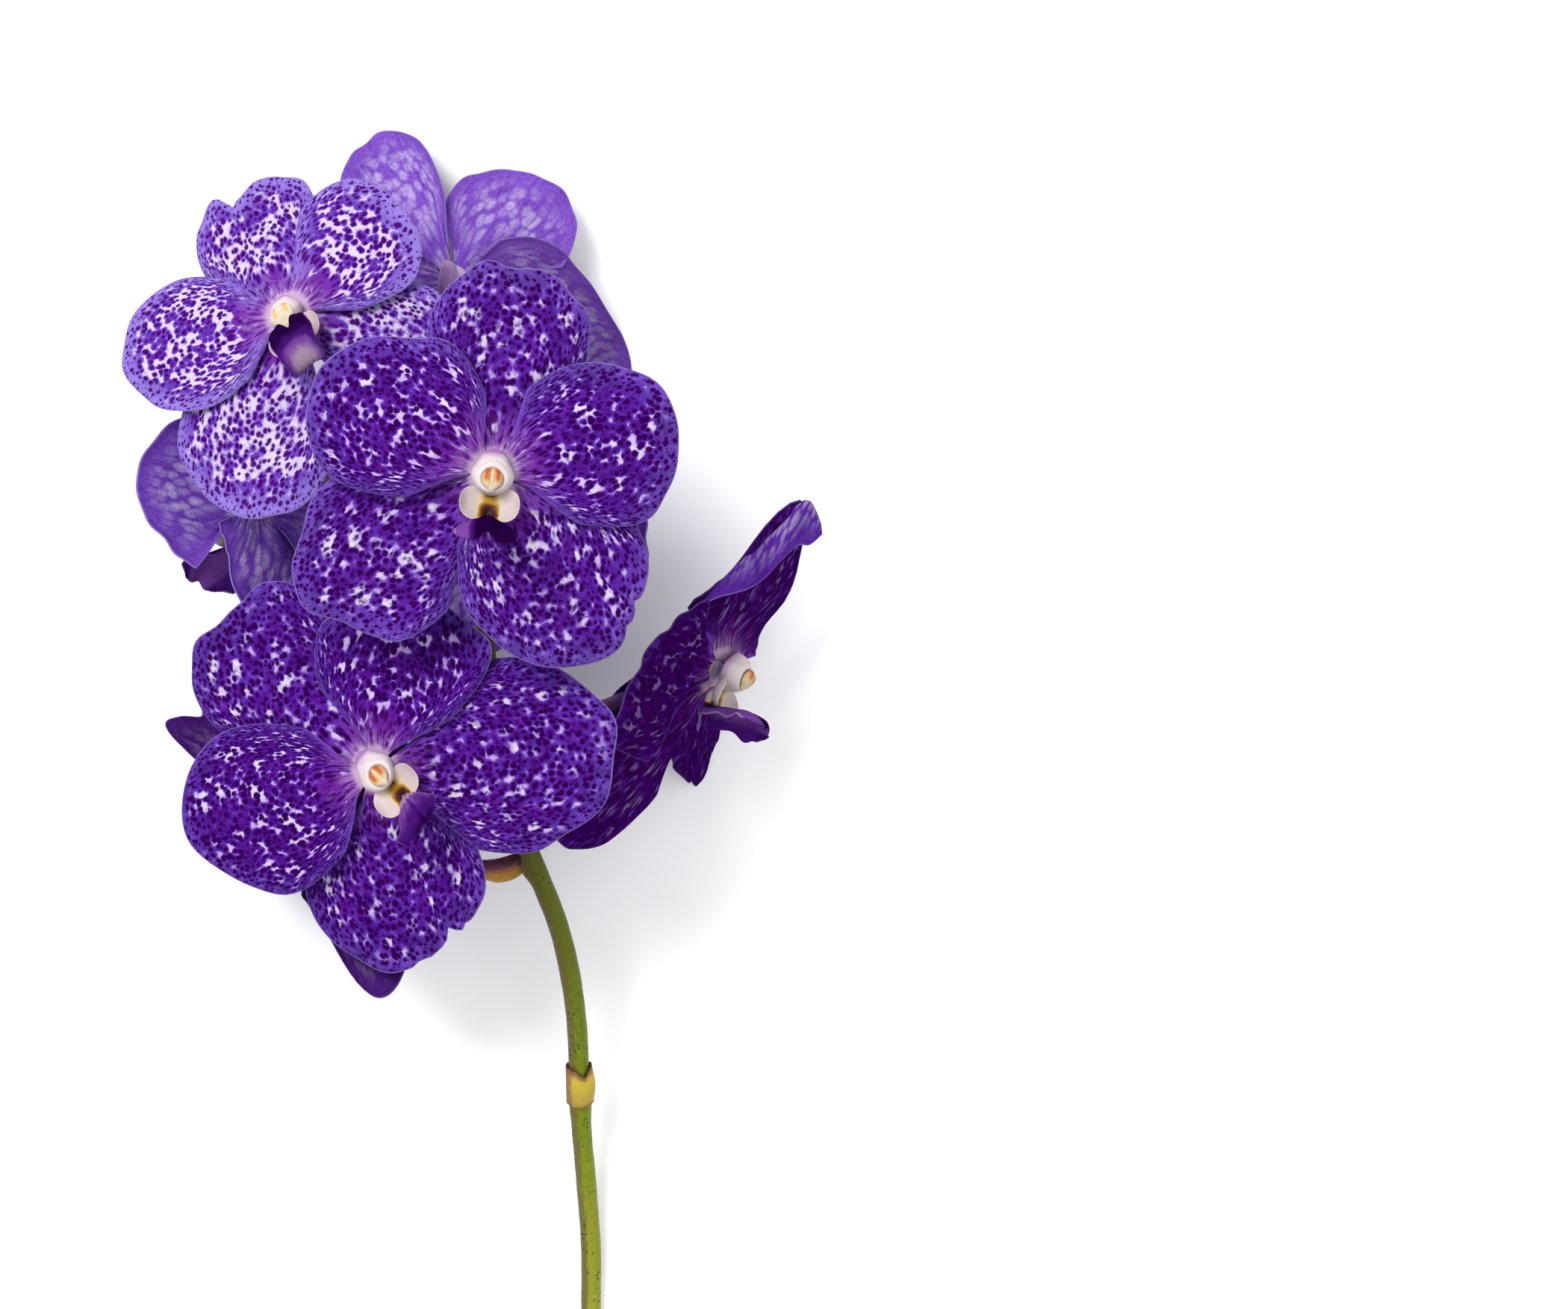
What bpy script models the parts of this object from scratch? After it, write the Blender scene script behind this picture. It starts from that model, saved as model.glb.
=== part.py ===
# A cut vanda orchid: eight violet blooms round one green stem, lying on a table.
# The cut end is at -Y, the top of the flower head at +Y, and the table is the plane z = 0.
# All sizes are in millimetres and become metres when a mesh is made.

import math

import bpy
import numpy as np

metre = 0.001

# Driving sizes
blade_thickness = 1.0
seat_gap = 0.35
claw_radius = 3.0
hub_radius = 4.2
hub_half_depth = 2.2
hub_sink = 1.0
stem_radius = 2.8
rachis_radius = 2.2
pedicel_radius = 1.7
sheath_wall = 0.7
blade_rows = 5
centring = (3.1, -3.1, 0.0)
tube_sides = 10

# Outline of a hidden tepal: its radius across the fan, as a share of its reach
petal_edge = (0.50, 0.75, 0.90, 0.97, 1.00, 0.97, 0.90, 0.75, 0.50)
sepal_edge = (0.66, 0.83, 0.93, 0.98, 1.00, 0.98, 0.93, 0.83, 0.66)

colours = {
    "tepals": (0.16, 0.05, 0.34, 1.0),
    "pedicel": (0.38, 0.22, 0.42, 1.0),
    "column": (0.80, 0.70, 0.82, 1.0),
    "anther_cap": (0.85, 0.62, 0.25, 1.0),
    "lip_base": (0.84, 0.78, 0.66, 1.0),
    "lip_midlobe": (0.07, 0.02, 0.13, 1.0),
    "stem": (0.20, 0.24, 0.05, 1.0),
    "sheath": (0.48, 0.36, 0.08, 1.0),
    "bract": (0.42, 0.24, 0.08, 1.0),
}


def tepal(kind, bearing, half, edge, layer, back=4.0, cup=0.0, faces=None, tilt=0.0):
    """A tepal fans out from the hub. Its edge radii run from bearing - half to bearing + half."""
    return {
        "kind": kind,
        "bearing": bearing,
        "half": half,
        "edge": edge,
        "layer": layer,
        "back": back,
        "cup": cup,
        "faces": faces,
        "tilt": tilt,
    }


def scaled(shape, reach):
    return tuple(reach * share for share in shape)


# Each bloom: the hub, the way it faces, the bearing of its dorsal sepal seen from above,
# the point on the rachis that carries it and its five tepals
blooms = {
    "upper_left": {
        "hub": (-49.1, 143.4, 76.0),
        "faces": (-0.40, 0.30, 0.87),
        "dorsal": 119,
        "leans": (-0.14, 0.04, 0.99),
        "carried_at": 118,
        "tepals": [
            tepal("petal", 195, 45, (20, 33.5, 41.5, 46.5, 49.3, 46.5, 41.5, 33.5, 20), 1.6, 3),
            tepal("petal", 43, 42, (20, 33, 38.3, 40.8, 41.8, 42, 41, 37, 28), 1.6, 2),
            tepal("dorsal", 117, 39, (31, 37.6, 41, 41.8, 38.3, 42, 39.4, 34.5, 27), -1.2, 3),
            tepal("lateral", 252, 37, (37, 46, 50.5, 53.8, 54.3, 53, 50.6, 45, 34), -1.2, 6),
            tepal("lateral", -15, 36, (28, 38, 43, 45, 46, 44, 42, 38, 30), -1.4, 7),
        ],
    },
    "centre": {
        "hub": (7.4, 99.6, 108.0),
        "faces": (0.0, 0.03, 1.0),
        "dorsal": 84,
        "leans": (0.06, -0.03, 1.0),
        "carried_at": 92,
        "tepals": [
            tepal("petal", 145, 50, (21, 36, 41.5, 48, 53, 52.6, 49, 41.5, 24), 1.6, 2),
            tepal("petal", 18.5, 49, (26, 41, 46.5, 49, 50.5, 49, 42, 34.5, 24), 1.6, 2),
            tepal("dorsal", 84, 34, (38, 48, 52, 56, 54.6, 56.6, 52.5, 47, 38), -1.2, 4),
            tepal("lateral", 293, 50, (19, 33.5, 42.3, 50.4, 55.2, 56.2, 51.6, 47, 38), -1.2, 5),
            tepal("lateral", 214, 37, (38, 48, 52.5, 58.5, 61.7, 56, 53.3, 49.5, 38), -3.6, 6),
        ],
    },
    "lower_left": {
        "hub": (-25.9, 21.1, 74.0),
        "faces": (-0.385, -0.10, 0.917),
        "dorsal": 139,
        "leans": (0.05, -0.07, 0.99),
        "carried_at": 22,
        "tepals": [
            tepal("petal", 79, 46, (25, 44, 46.3, 46.8, 46.8, 46, 44, 40, 27), 1.6, 3),
            tepal("petal", 200, 49, (22, 39.5, 50.5, 56.5, 57.4, 52.8, 47.2, 40, 24), 1.6, 3),
            tepal("dorsal", 140, 33, (42, 53.5, 60, 60, 60.7, 62.5, 59.5, 52, 39), -1.2, 4),
            tepal("lateral", 2, 42, (29, 44, 52.3, 60, 61.5, 62.5, 57, 52, 42), -1.2, 7),
            tepal("lateral", 278, 44, (36, 44, 48.7, 54.4, 54, 50, 46.5, 41.5, 31), -3.6, 6),
        ],
    },
    "right": {
        "hub": (65.7, 47.9, 42.0),
        "faces": (0.855, -0.352, 0.382),
        "dorsal": 60,
        "leans": (0.90, -0.16, 0.40),
        "set_out": 0.9,
        "carried_at": 27,
        "stalk_by": [(24, 34, 38), (41, 41, 26)],
        "tepals": [
            tepal("petal", 165, 67, (19.8, 18.4, 17.6, 17.4, 19.3, 21.2, 26.4, 34, 31.5), 1.2, 0,
                  faces=(0.83, -0.39, 0.40)),
            tepal("lateral", 228, 19, (41, 51, 58, 62, 63, 63, 59, 50, 39), -1.2, 0,
                  faces=(0.75, -0.50, 0.43)),
            tepal("dorsal", 61, 50, (12, 14, 19.5, 37, 52.5, 32, 24, 20.5, 18), -2.2, 0,
                  faces=(0.62, -0.55, 0.56)),
            tepal("lateral", 260, 17, (22, 27, 30, 32.3, 33.6, 34.2, 26.5, 22, 17), -2.4, 0,
                  faces=(0.90, -0.50, 0.33)),
            tepal("petal", 200, 35, (19, 20, 22, 28, 34, 38, 40, 40, 36), 1.2, 0,
                  faces=(0.42, 0.18, -0.89)),
        ],
    },
    "top": {
        "hub": (-7.6, 155.6, 27.0),
        "faces": (0.05, -0.20, -0.98),
        "dorsal": 116,
        "leans": (-0.12, -0.24, -0.96),
        "carried_at": 128,
        "tepals": [
            tepal("petal", 56, 45, (30, 35, 39, 41, 39.5, 37.5, 34, 30, 21), 1.6, -13),
            tepal("petal", 177, 42, scaled(petal_edge, 38), 1.6, -10),
            tepal("dorsal", 121, 24, (25, 41, 48, 51.5, 51, 50, 48, 44, 36), -1.2, -16),
            tepal("lateral", -5, 46, (35, 46, 50, 48.5, 42, 36, 31.5, 26, 17), -1.2, -38, tilt=0.75),
            tepal("lateral", 244, 40, scaled(sepal_edge, 42), -1.4, -14),
        ],
    },
    "left": {
        "hub": (-61.5, 92.5, 42.0),
        "faces": (-0.62, -0.38, -0.68),
        "dorsal": 80,
        "carried_at": 101,
        "tepals": [
            tepal("petal", 170, 62, (27, 31, 31.5, 31.5, 30, 27, 24, 22.5, 21.5), 1.6, 0),
            tepal("petal", 15, 40, scaled(petal_edge, 33), 1.6, 0),
            tepal("dorsal", 80, 34, scaled(sepal_edge, 34), -1.2, 0),
            tepal("lateral", 265, 58, (10, 11.5, 13, 16.5, 24, 31, 33, 32, 26), -1.2, -8),
            tepal("lateral", 336, 30, scaled(sepal_edge, 28), -2.6, -2),
        ],
    },
    "lower": {
        "hub": (-49.3, 6.9, 27.0),
        "faces": (0.30, -0.25, -0.92),
        "dorsal": 55,
        "carried_at": -3,
        "tepals": [
            tepal("petal", 138, 20, (38, 48, 56, 56, 46, 52, 54, 40, 28), 1.6, -16),
            tepal("petal", 0, 42, scaled(petal_edge, 42), 1.6, 0),
            tepal("dorsal", 56, 34, scaled(sepal_edge, 42), -1.2, 2),
            tepal("lateral", 298, 26, (24, 29, 37, 52, 56, 52, 50, 44, 34), -1.2, 2),
            tepal("lateral", 205, 40, scaled(sepal_edge, 24), -1.2, 0),
        ],
    },
    "right_rear": {
        "hub": (18.5, 80.7, 30.0),
        "faces": (0.45, -0.05, -0.89),
        "dorsal": 72,
        "carried_at": 76,
        "tepals": [
            tepal("petal", 4, 40, (22, 25, 27.5, 28, 27.5, 28.5, 28.5, 26, 22), 1.6, 0),
            tepal("petal", 142, 42, scaled(petal_edge, 36), 1.6, -3),
            tepal("dorsal", 73, 34, scaled(sepal_edge, 34), -1.2, 2),
            tepal("lateral", 288, 36, scaled(sepal_edge, 28), -1.2, 2),
            tepal("lateral", 213, 40, scaled(sepal_edge, 38), -2.6, -3),
        ],
    },
}

# Centre line of the stem from the cut end to the top of the rachis
stem_line = [
    (27.0, -193), (28.9, -175), (30.0, -150), (29.6, -129), (29.7, -118), (28.5, -97),
    (27.3, -80), (26.9, -65), (26.4, -50), (24.9, -37), (21.6, -22.2), (17.8, -11.7),
    (13.0, 1), (7.6, 20), (4.0, 42), (1.5, 66), (0.5, 92), (-0.5, 114), (-3.0, 133),
]
stem_heights = [
    (-193, 0), (-128, 0), (-110, 2), (-90, 7), (-60, 19), (-30, 31), (-4, 40),
    (20, 44), (60, 46), (100, 46), (133, 43),
]
sheath_at = -67.5
sheath_length = 11.7
bract_below = 3.9
bract_length = 15.0


def unit(vector):
    vector = np.asarray(vector, float)
    return vector / np.linalg.norm(vector)


def smooth_step(value):
    value = np.clip(value, 0.0, 1.0)
    return value * value * (3 - 2 * value)


def through(knots, values, where):
    """A smooth curve through the values at the knots."""
    knots = np.asarray(knots, float)
    values = np.asarray(values, float)
    slopes = np.gradient(values, knots)
    index = np.clip(np.searchsorted(knots, where) - 1, 0, len(knots) - 2)
    width = knots[index + 1] - knots[index]
    t = (where - knots[index]) / width
    start, end = values[index], values[index + 1]
    start_slope, end_slope = slopes[index] * width, slopes[index + 1] * width
    return (
        start * (1 + 2 * t) * (1 - t) ** 2
        + start_slope * t * (1 - t) ** 2
        + end * t * t * (3 - 2 * t)
        + end_slope * t * t * (t - 1)
    )


def bloom_axes(bloom):
    """Right, dorsal and facing unit vectors of the flower."""
    facing = unit(bloom["faces"])
    turn = math.radians(bloom["dorsal"])
    slope = -(facing[0] * math.cos(turn) + facing[1] * math.sin(turn)) / facing[2]
    dorsal = unit((math.cos(turn), math.sin(turn), slope))
    return np.cross(dorsal, facing), dorsal, facing


def tepal_surface(bloom, shape, rows, columns):
    """The middle surface of one tepal as a grid of points, from its claw to its edge."""
    facing = unit(shape["faces"] or bloom["faces"])
    along_x = np.array((1.0, 0.0, -facing[0] / facing[2]))
    along_y = np.array((0.0, 1.0, -facing[1] / facing[2]))
    across = np.linspace(-1, 1, columns + 1)
    edge = through(np.linspace(-1, 1, len(shape["edge"])), shape["edge"], across)
    out, across = np.meshgrid(np.linspace(0, 1, rows + 1), across, indexing="ij")
    middle = math.radians(shape["bearing"])
    rise = along_x[2] * math.cos(middle) + along_y[2] * math.sin(middle)
    stretch = math.sqrt(1 + rise * rise)
    claw = claw_radius / stretch
    radius = claw + (edge[None, :] - claw) * out
    share = radius / max(shape["edge"])
    narrowing = 0.38 if shape["kind"] == "petal" else 0.20
    spread = 1 - narrowing * (1 - out) ** 2
    bearing = np.radians(shape["bearing"] + shape["half"] * across * spread)
    height = shape["layer"] * smooth_step((radius * stretch - 4) / 8)
    height = height - shape["back"] * share**2 * (1 - shape["tilt"] * across)
    height = height + shape["cup"] * share * across**2
    points = (
        np.array(bloom["hub"])
        + (radius * np.cos(bearing))[..., None] * along_x
        + (radius * np.sin(bearing))[..., None] * along_y
        + height[..., None] * facing
    )
    points[..., 2] = np.maximum(points[..., 2], blade_thickness / 2)
    return points


def grid_normals(points):
    down = np.gradient(points, axis=0)
    right = np.gradient(points, axis=1)
    normals = np.cross(down, right)
    return normals / np.linalg.norm(normals, axis=2, keepdims=True)


def blade(points, thickness):
    """A closed blade round a grid of points, its two faces split into triangles alike."""
    rows, columns = points.shape[:2]
    normals = grid_normals(points)
    resting = points[..., 2] < thickness / 2 + 1e-6
    normals[resting] = np.sign(normals[resting][:, 2:3]) * (0.0, 0.0, 1.0)
    offset = normals * thickness / 2
    layers = [(points + offset).reshape(-1, 3), (points - offset).reshape(-1, 3)]
    for layer in layers:
        layer[:, 2] = np.maximum(layer[:, 2], 0.0)
    under = rows * columns

    def at(i, j):
        return i * columns + j

    faces = []
    for i in range(rows - 1):
        for j in range(columns - 1):
            a, b, c, d = at(i, j), at(i + 1, j), at(i + 1, j + 1), at(i, j + 1)
            faces += [(a, b, c), (a, c, d)]
            faces += [(a + under, c + under, b + under), (a + under, d + under, c + under)]
    rim = [at(i, 0) for i in range(rows)]
    rim += [at(rows - 1, j) for j in range(1, columns)]
    rim += [at(i, columns - 1) for i in range(rows - 2, -1, -1)]
    rim += [at(0, j) for j in range(columns - 2, 0, -1)]
    for first, second in zip(rim, rim[1:] + rim[:1]):
        faces += [(second, first, first + under), (second, first + under, second + under)]
    return np.concatenate(layers), faces


def ring_solid(rings):
    """A closed solid through rings of points, with a flat cap at each end."""
    count = len(rings[0])
    faces = []
    for k in range(len(rings) - 1):
        for i in range(count):
            j = (i + 1) % count
            faces.append((k * count + i, k * count + j, (k + 1) * count + j, (k + 1) * count + i))
    faces.append(tuple(range(count - 1, -1, -1)))
    last = (len(rings) - 1) * count
    faces.append(tuple(last + i for i in range(count)))
    return np.concatenate(rings), faces


def ellipsoid(centre, axes, radii, sides=10, bands=6):
    """A closed ellipsoid, its poles along the last axis, cut flat just short of each pole."""
    rings = []
    for k in range(bands + 1):
        turn = math.pi * (0.07 + 0.86 * k / bands)
        angles = np.arange(sides) * 2 * math.pi / sides
        ring = (
            np.outer(np.cos(angles) * radii[0] * math.sin(turn), axes[0])
            + np.outer(np.sin(angles) * radii[1] * math.sin(turn), axes[1])
            - math.cos(turn) * radii[2] * np.asarray(axes[2])
        )
        rings.append(np.asarray(centre) + ring)
    return ring_solid(rings)


def tube(path, radii, sides):
    """A tube with flat ends along a path, one of its flat sides kept underneath."""
    path = np.asarray(path, float)
    tangents = np.gradient(path, axis=0)
    rings = []
    for point, tangent, radius in zip(path, tangents, radii):
        tangent = unit(tangent)
        side = unit(np.cross(tangent, (0.0, 0.0, 1.0) if abs(tangent[2]) < 0.9 else (0.0, 1.0, 0.0)))
        up = np.cross(side, tangent)
        angles = (np.arange(sides) + 0.5) * 2 * math.pi / sides - math.pi / 2
        rings.append(point + radius * (np.outer(np.cos(angles), side) + np.outer(np.sin(angles), up)))
    for ring in rings:
        ring[:, 2] = np.maximum(ring[:, 2], 0.0)
    return ring_solid([ring[::-1] for ring in rings])


def material(name):
    found = bpy.data.materials.get(name)
    if found:
        return found
    made = bpy.data.materials.new(name)
    made.use_nodes = True
    shader = made.node_tree.nodes["Principled BSDF"]
    shader.inputs["Base Color"].default_value = colours[name]
    shader.inputs["Roughness"].default_value = 0.45
    shader.inputs["Metallic"].default_value = 0.0
    return made


def add_object(name, kind, solid):
    points, faces = solid
    mesh = bpy.data.meshes.new(name)
    mesh.from_pydata(((np.asarray(points) + centring) * metre).tolist(), [], faces)
    mesh.materials.append(material(kind))
    made = bpy.data.objects.new(name, mesh)
    bpy.context.scene.collection.objects.link(made)
    mesh.shade_smooth()
    return made


def joined(name, kind, solids):
    """One body from overlapping solids."""
    base = add_object(name, kind, solids[0])
    others = bpy.data.collections.new(name + "_pieces")
    for index, solid in enumerate(solids[1:]):
        piece = add_object(f"{name}_{index}", kind, solid)
        bpy.context.scene.collection.objects.unlink(piece)
        others.objects.link(piece)
    union = base.modifiers.new("union", "BOOLEAN")
    union.operation = "UNION"
    union.operand_type = "COLLECTION"
    union.collection = others
    union.solver = "EXACT"
    evaluated = base.evaluated_get(bpy.context.evaluated_depsgraph_get())
    merged = bpy.data.meshes.new_from_object(evaluated)
    base.modifiers.clear()
    base.data = merged
    for piece in list(others.objects):
        bpy.data.objects.remove(piece)
    bpy.data.collections.remove(others)
    return base


def local_points(bloom, points):
    """Points given from the hub: to the flower's right, towards its dorsal sepal, and forward."""
    right, dorsal, facing = bloom_axes(bloom)
    forward = unit(bloom.get("leans", facing))
    points = np.asarray(points, float)
    return (
        np.array(bloom["hub"])
        + points[..., 0:1] * right
        + points[..., 1:2] * dorsal
        + (points[..., 2:3] + bloom.get("set_out", 0.0)) * forward
    )


def pedicel(bloom):
    """The stalk from the rachis to the back of the hub."""
    facing = unit(bloom["faces"])
    root, ahead = stem_point(bloom["carried_at"])
    end = np.array(bloom["hub"]) - hub_sink * facing
    behind = [end - 13 * facing, end - 7 * facing]
    between = [np.array(point, float) for point in bloom.get("stalk_by", [])]
    out = (between + behind)[0] - root
    out = unit(out - np.dot(out, ahead) * ahead)
    start = root + out * (float(stem_radii(bloom["carried_at"])) + seat_gap)
    knots = np.array([start, start + 5 * out] + between + behind + [end])
    ways = np.concatenate(([0], np.cumsum(np.linalg.norm(np.diff(knots, axis=0), axis=1))))
    at = np.linspace(0, ways[-1], 10)
    path = np.stack([through(ways, knots[:, k], at) for k in range(3)], axis=1)
    return tube(path, pedicel_radius * (1 + 0.25 * at / ways[-1]), 6)


def add_tepals(name, bloom):
    """The five tepals, the hub they grow from and its stalk, which are one piece."""
    axes = bloom_axes(bloom)
    centre = np.array(bloom["hub"]) - hub_sink * axes[2]
    solids = [ellipsoid(centre, axes, (hub_radius, hub_radius, hub_half_depth), 8, 4)]
    solids.append(pedicel(bloom))
    for shape in bloom["tepals"]:
        columns = len(shape["edge"]) - 1
        surface = tepal_surface(bloom, shape, blade_rows, columns)
        solids.append(blade(surface, blade_thickness))
    joined(name + "_tepals", "tepals", solids)


def local_rings(bloom, profile, sides):
    """Elliptical rings across the flower's axis: height, two radii and centre in the dorsal direction."""
    angles = np.arange(sides) * 2 * math.pi / sides
    rings = []
    for height, wide, tall, centre in profile:
        ring = np.stack(
            (wide * np.cos(angles), centre + tall * np.sin(angles), np.full(sides, height)), axis=1
        )
        rings.append(local_points(bloom, ring))
    return rings


column_profile = [
    (1.6, 3.0, 3.2, 0.6), (2.7, 6.0, 6.4, 0.6), (4.6, 5.6, 5.9, 0.2), (6.8, 4.7, 4.8, -0.5),
    (8.3, 3.6, 3.6, -1.1),
]
cap_profile = [
    (8.65, 2.9, 2.9, -1.3), (9.6, 2.7, 2.7, -1.4), (10.5, 1.5, 1.5, -1.5), (10.75, 0.5, 0.5, -1.5),
]


def add_column(name, bloom):
    add_object(name + "_column", "column", ring_solid(local_rings(bloom, column_profile, 10)))
    add_object(name + "_anther_cap", "anther_cap", ring_solid(local_rings(bloom, cap_profile, 8)))


def add_lip(name, bloom):
    """The lip: two pale ears beside a throat, and the dark arched midlobe in front of them."""
    right, dorsal, facing = bloom_axes(bloom)
    solids = [ellipsoid(local_points(bloom, (0, -8.8, 4.8)), (right, facing, dorsal), (4.4, 3.4, 2.4), 8, 4)]
    for side in (-1, 1):
        looks = unit(-0.42 * side * right + 0.22 * dorsal + 0.88 * facing)
        tall = unit(dorsal - np.dot(dorsal, looks) * looks)
        wide = np.cross(tall, looks)
        centre = local_points(bloom, (5.6 * side, -8.4, 5.0))
        solids.append(ellipsoid(centre, (wide, tall, looks), (3.9, 4.6, 1.1), 8, 4))
    joined(name + "_lip_base", "lip_base", solids)
    across, along = np.linspace(-1, 1, 7), np.linspace(0, 1, 6)
    along, across = np.meshgrid(along, across, indexing="ij")
    wide = through((0, 0.35, 0.75, 1), (3.6, 5.6, 7.9, 4.6), along)
    deep = through((0, 0.35, 0.75, 1), (3.0, 4.6, 5.0, 2.2), along)
    ridge = through((0, 0.35, 0.75, 1), (-12.6, -12.0, -12.6, -15.8), along)
    bend = across * math.radians(82)
    points = np.stack((wide * np.sin(bend), ridge - deep * (1 - np.cos(bend)), 2.8 + 20.2 * along), axis=2)
    add_object(name + "_lip_midlobe", "lip_midlobe", blade(local_points(bloom, points), 0.9))


def stem_path():
    """Points along the centre line of the stem, about one every seven millimetres."""
    line = np.array(stem_line, float)
    ways = np.concatenate(([0], np.cumsum(np.linalg.norm(np.diff(line, axis=0), axis=1))))
    at = np.linspace(0, ways[-1], 40)
    x, y = through(ways, line[:, 0], at), through(ways, line[:, 1], at)
    heights = np.array(stem_heights, float)
    radius = stem_radii(y)
    flat = math.cos(math.pi / tube_sides)
    rise = np.maximum(through(heights[:, 0], heights[:, 1], y), 0.0)
    return np.stack((x, y, rise + radius * flat), axis=1)


def stem_radii(y):
    return stem_radius + (rachis_radius - stem_radius) * smooth_step((np.asarray(y) + 20) / 120)


def stem_point(y):
    """The centre of the stem at one y, and its direction there."""
    path = stem_path()
    order = np.argsort(path[:, 1])
    centre = np.array([np.interp(y, path[order, 1], path[order, k]) for k in range(3)])
    ahead = np.array([np.interp(y + 1, path[order, 1], path[order, k]) for k in range(3)])
    return centre, unit(ahead - centre)


def add_stem():
    path = stem_path()
    joined("stem", "stem", [tube(path, stem_radii(path[:, 1]), tube_sides), bract()])


def add_sheath():
    """The papery sheath round the stem's joint, its top edge notched."""
    centre, ahead = stem_point(sheath_at)
    side = unit(np.cross(ahead, (0, 0, 1)))
    up = np.cross(side, ahead)
    sides = 16
    angles = np.arange(sides) * 2 * math.pi / sides
    inner = stem_radius + seat_gap
    bulge = 0.35 * (1 + np.cos(angles))

    def ring(along, radius):
        return (
            centre + np.asarray(along)[:, None] * ahead
            + np.outer(np.cos(angles), side) * np.asarray(radius)[:, None]
            + np.outer(np.sin(angles), up) * np.asarray(radius)[:, None]
        )

    low = np.full(sides, -sheath_length / 2)
    high = sheath_length / 2 - 2.0 + 2.0 * np.abs(np.cos(angles))
    even = np.ones(sides)
    rings = [
        ring(low, inner * even), ring(low, (inner + sheath_wall) * even),
        ring(0.0 * low, (inner + sheath_wall) * even + bulge), ring(high, (inner + 0.7) * even),
        ring(high, inner * even),
    ]
    faces = []
    for k in range(len(rings)):
        following = (k + 1) % len(rings)
        for i in range(sides):
            j = (i + 1) % sides
            faces.append((k * sides + i, following * sides + i, following * sides + j, k * sides + j))
    add_object("sheath", "sheath", (np.concatenate(rings), faces))


def bract():
    """The dry bract below the lowest pedicel, a short arched scale that grows from the stem."""
    centre, ahead = stem_point(blooms["lower"]["carried_at"] - bract_below)
    out = unit((-1.0, -0.15, -0.1))
    along, across = np.meshgrid(np.linspace(0, 1, 5), np.linspace(-1, 1, 5), indexing="ij")
    wide = 2.4 * (1 - 0.75 * along**2)
    points = (
        centre
        + (1.0 + bract_length * along)[..., None] * out
        + (wide * across)[..., None] * np.array((0.0, 0.0, 1.0))
        + (1.0 * (1 - across**2) - 1.5 * along)[..., None] * np.array((0.0, 1.0, 0.0))
    )
    return blade(points, 0.8)


def main():
    for thing in list(bpy.data.objects):
        bpy.data.objects.remove(thing)
    add_stem()
    add_sheath()
    for name, bloom in blooms.items():
        add_tepals(name, bloom)
        add_column(name, bloom)
        add_lip(name, bloom)


main()
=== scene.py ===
import math

import bpy
import numpy as np
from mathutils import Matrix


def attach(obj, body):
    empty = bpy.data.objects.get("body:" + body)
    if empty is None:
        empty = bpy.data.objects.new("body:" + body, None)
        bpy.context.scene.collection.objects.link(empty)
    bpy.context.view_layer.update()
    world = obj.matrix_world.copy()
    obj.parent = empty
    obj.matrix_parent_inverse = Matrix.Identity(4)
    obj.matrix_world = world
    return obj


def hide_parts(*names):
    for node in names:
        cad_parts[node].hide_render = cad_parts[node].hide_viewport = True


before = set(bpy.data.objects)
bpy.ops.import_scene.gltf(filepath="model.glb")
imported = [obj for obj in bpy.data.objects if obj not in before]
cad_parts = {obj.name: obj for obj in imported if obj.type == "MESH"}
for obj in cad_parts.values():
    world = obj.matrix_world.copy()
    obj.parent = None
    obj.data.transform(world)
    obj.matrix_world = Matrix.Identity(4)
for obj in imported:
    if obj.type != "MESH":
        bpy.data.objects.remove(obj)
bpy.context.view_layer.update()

mm = 0.001
centring = np.array((3.1, -3.1, 0.0))  # moves the whole orchid so that it stands over the origin
seatGap = 0.35  # mm between the stem and what it carries
restHeight = 0.45  # mm, the middle of a petal that lies on the table

# Camera, floor and lights

view = {
    "aim": (84.0, 52.0, 80.0),  # mm, the middle of the picture at the blooms' height
    "distance": 1500.0,  # mm
    "frameWidth": 420.0,  # mm across the picture at the aim
    "lightLevel": 1.62,  # white paper under these lights, against the screen's white
    "floorColour": (0.97, 0.97, 0.98, 1.0),
    "floorRoughness": 0.9,
    "floorReach": 6.0,  # m
    "skyStrength": 0.86,
    "lights": {  # place and size in m, power in W
        "keyLight": ((-0.7, 0.8, 1.5), 0.8, 30.0),
        "fillLight": ((0.9, -0.6, 1.4), 1.8, 9.0),
    },
    "lightsLookAt": (0.0, 0.05, 0.05),
}


def put(name, data):
    thing = bpy.data.objects.new(name, data)
    bpy.context.scene.collection.objects.link(thing)
    return thing


def addCamera():
    bpy.context.scene.view_settings.view_transform = "Standard"  # keeps the violets saturated
    data = bpy.data.cameras.new("photoCamera")
    data.sensor_width = 36.0
    data.lens = data.sensor_width * view["distance"] / view["frameWidth"]
    data.clip_end = 10.0
    camera = put("photoCamera", data)
    camera.location = (centring + view["aim"] + (0.0, 0.0, view["distance"])) * mm
    bpy.context.scene.camera = camera


def addLight(name, place, size, power):
    data = bpy.data.lights.new(name, "AREA")
    data.size = size
    data.energy = power
    lamp = put(name, data)
    lamp.location = place
    x, y, z = np.array(place) - view["lightsLookAt"]
    lamp.rotation_euler = (math.atan2(math.hypot(x, y), z), 0.0, math.atan2(x, -y))


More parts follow.
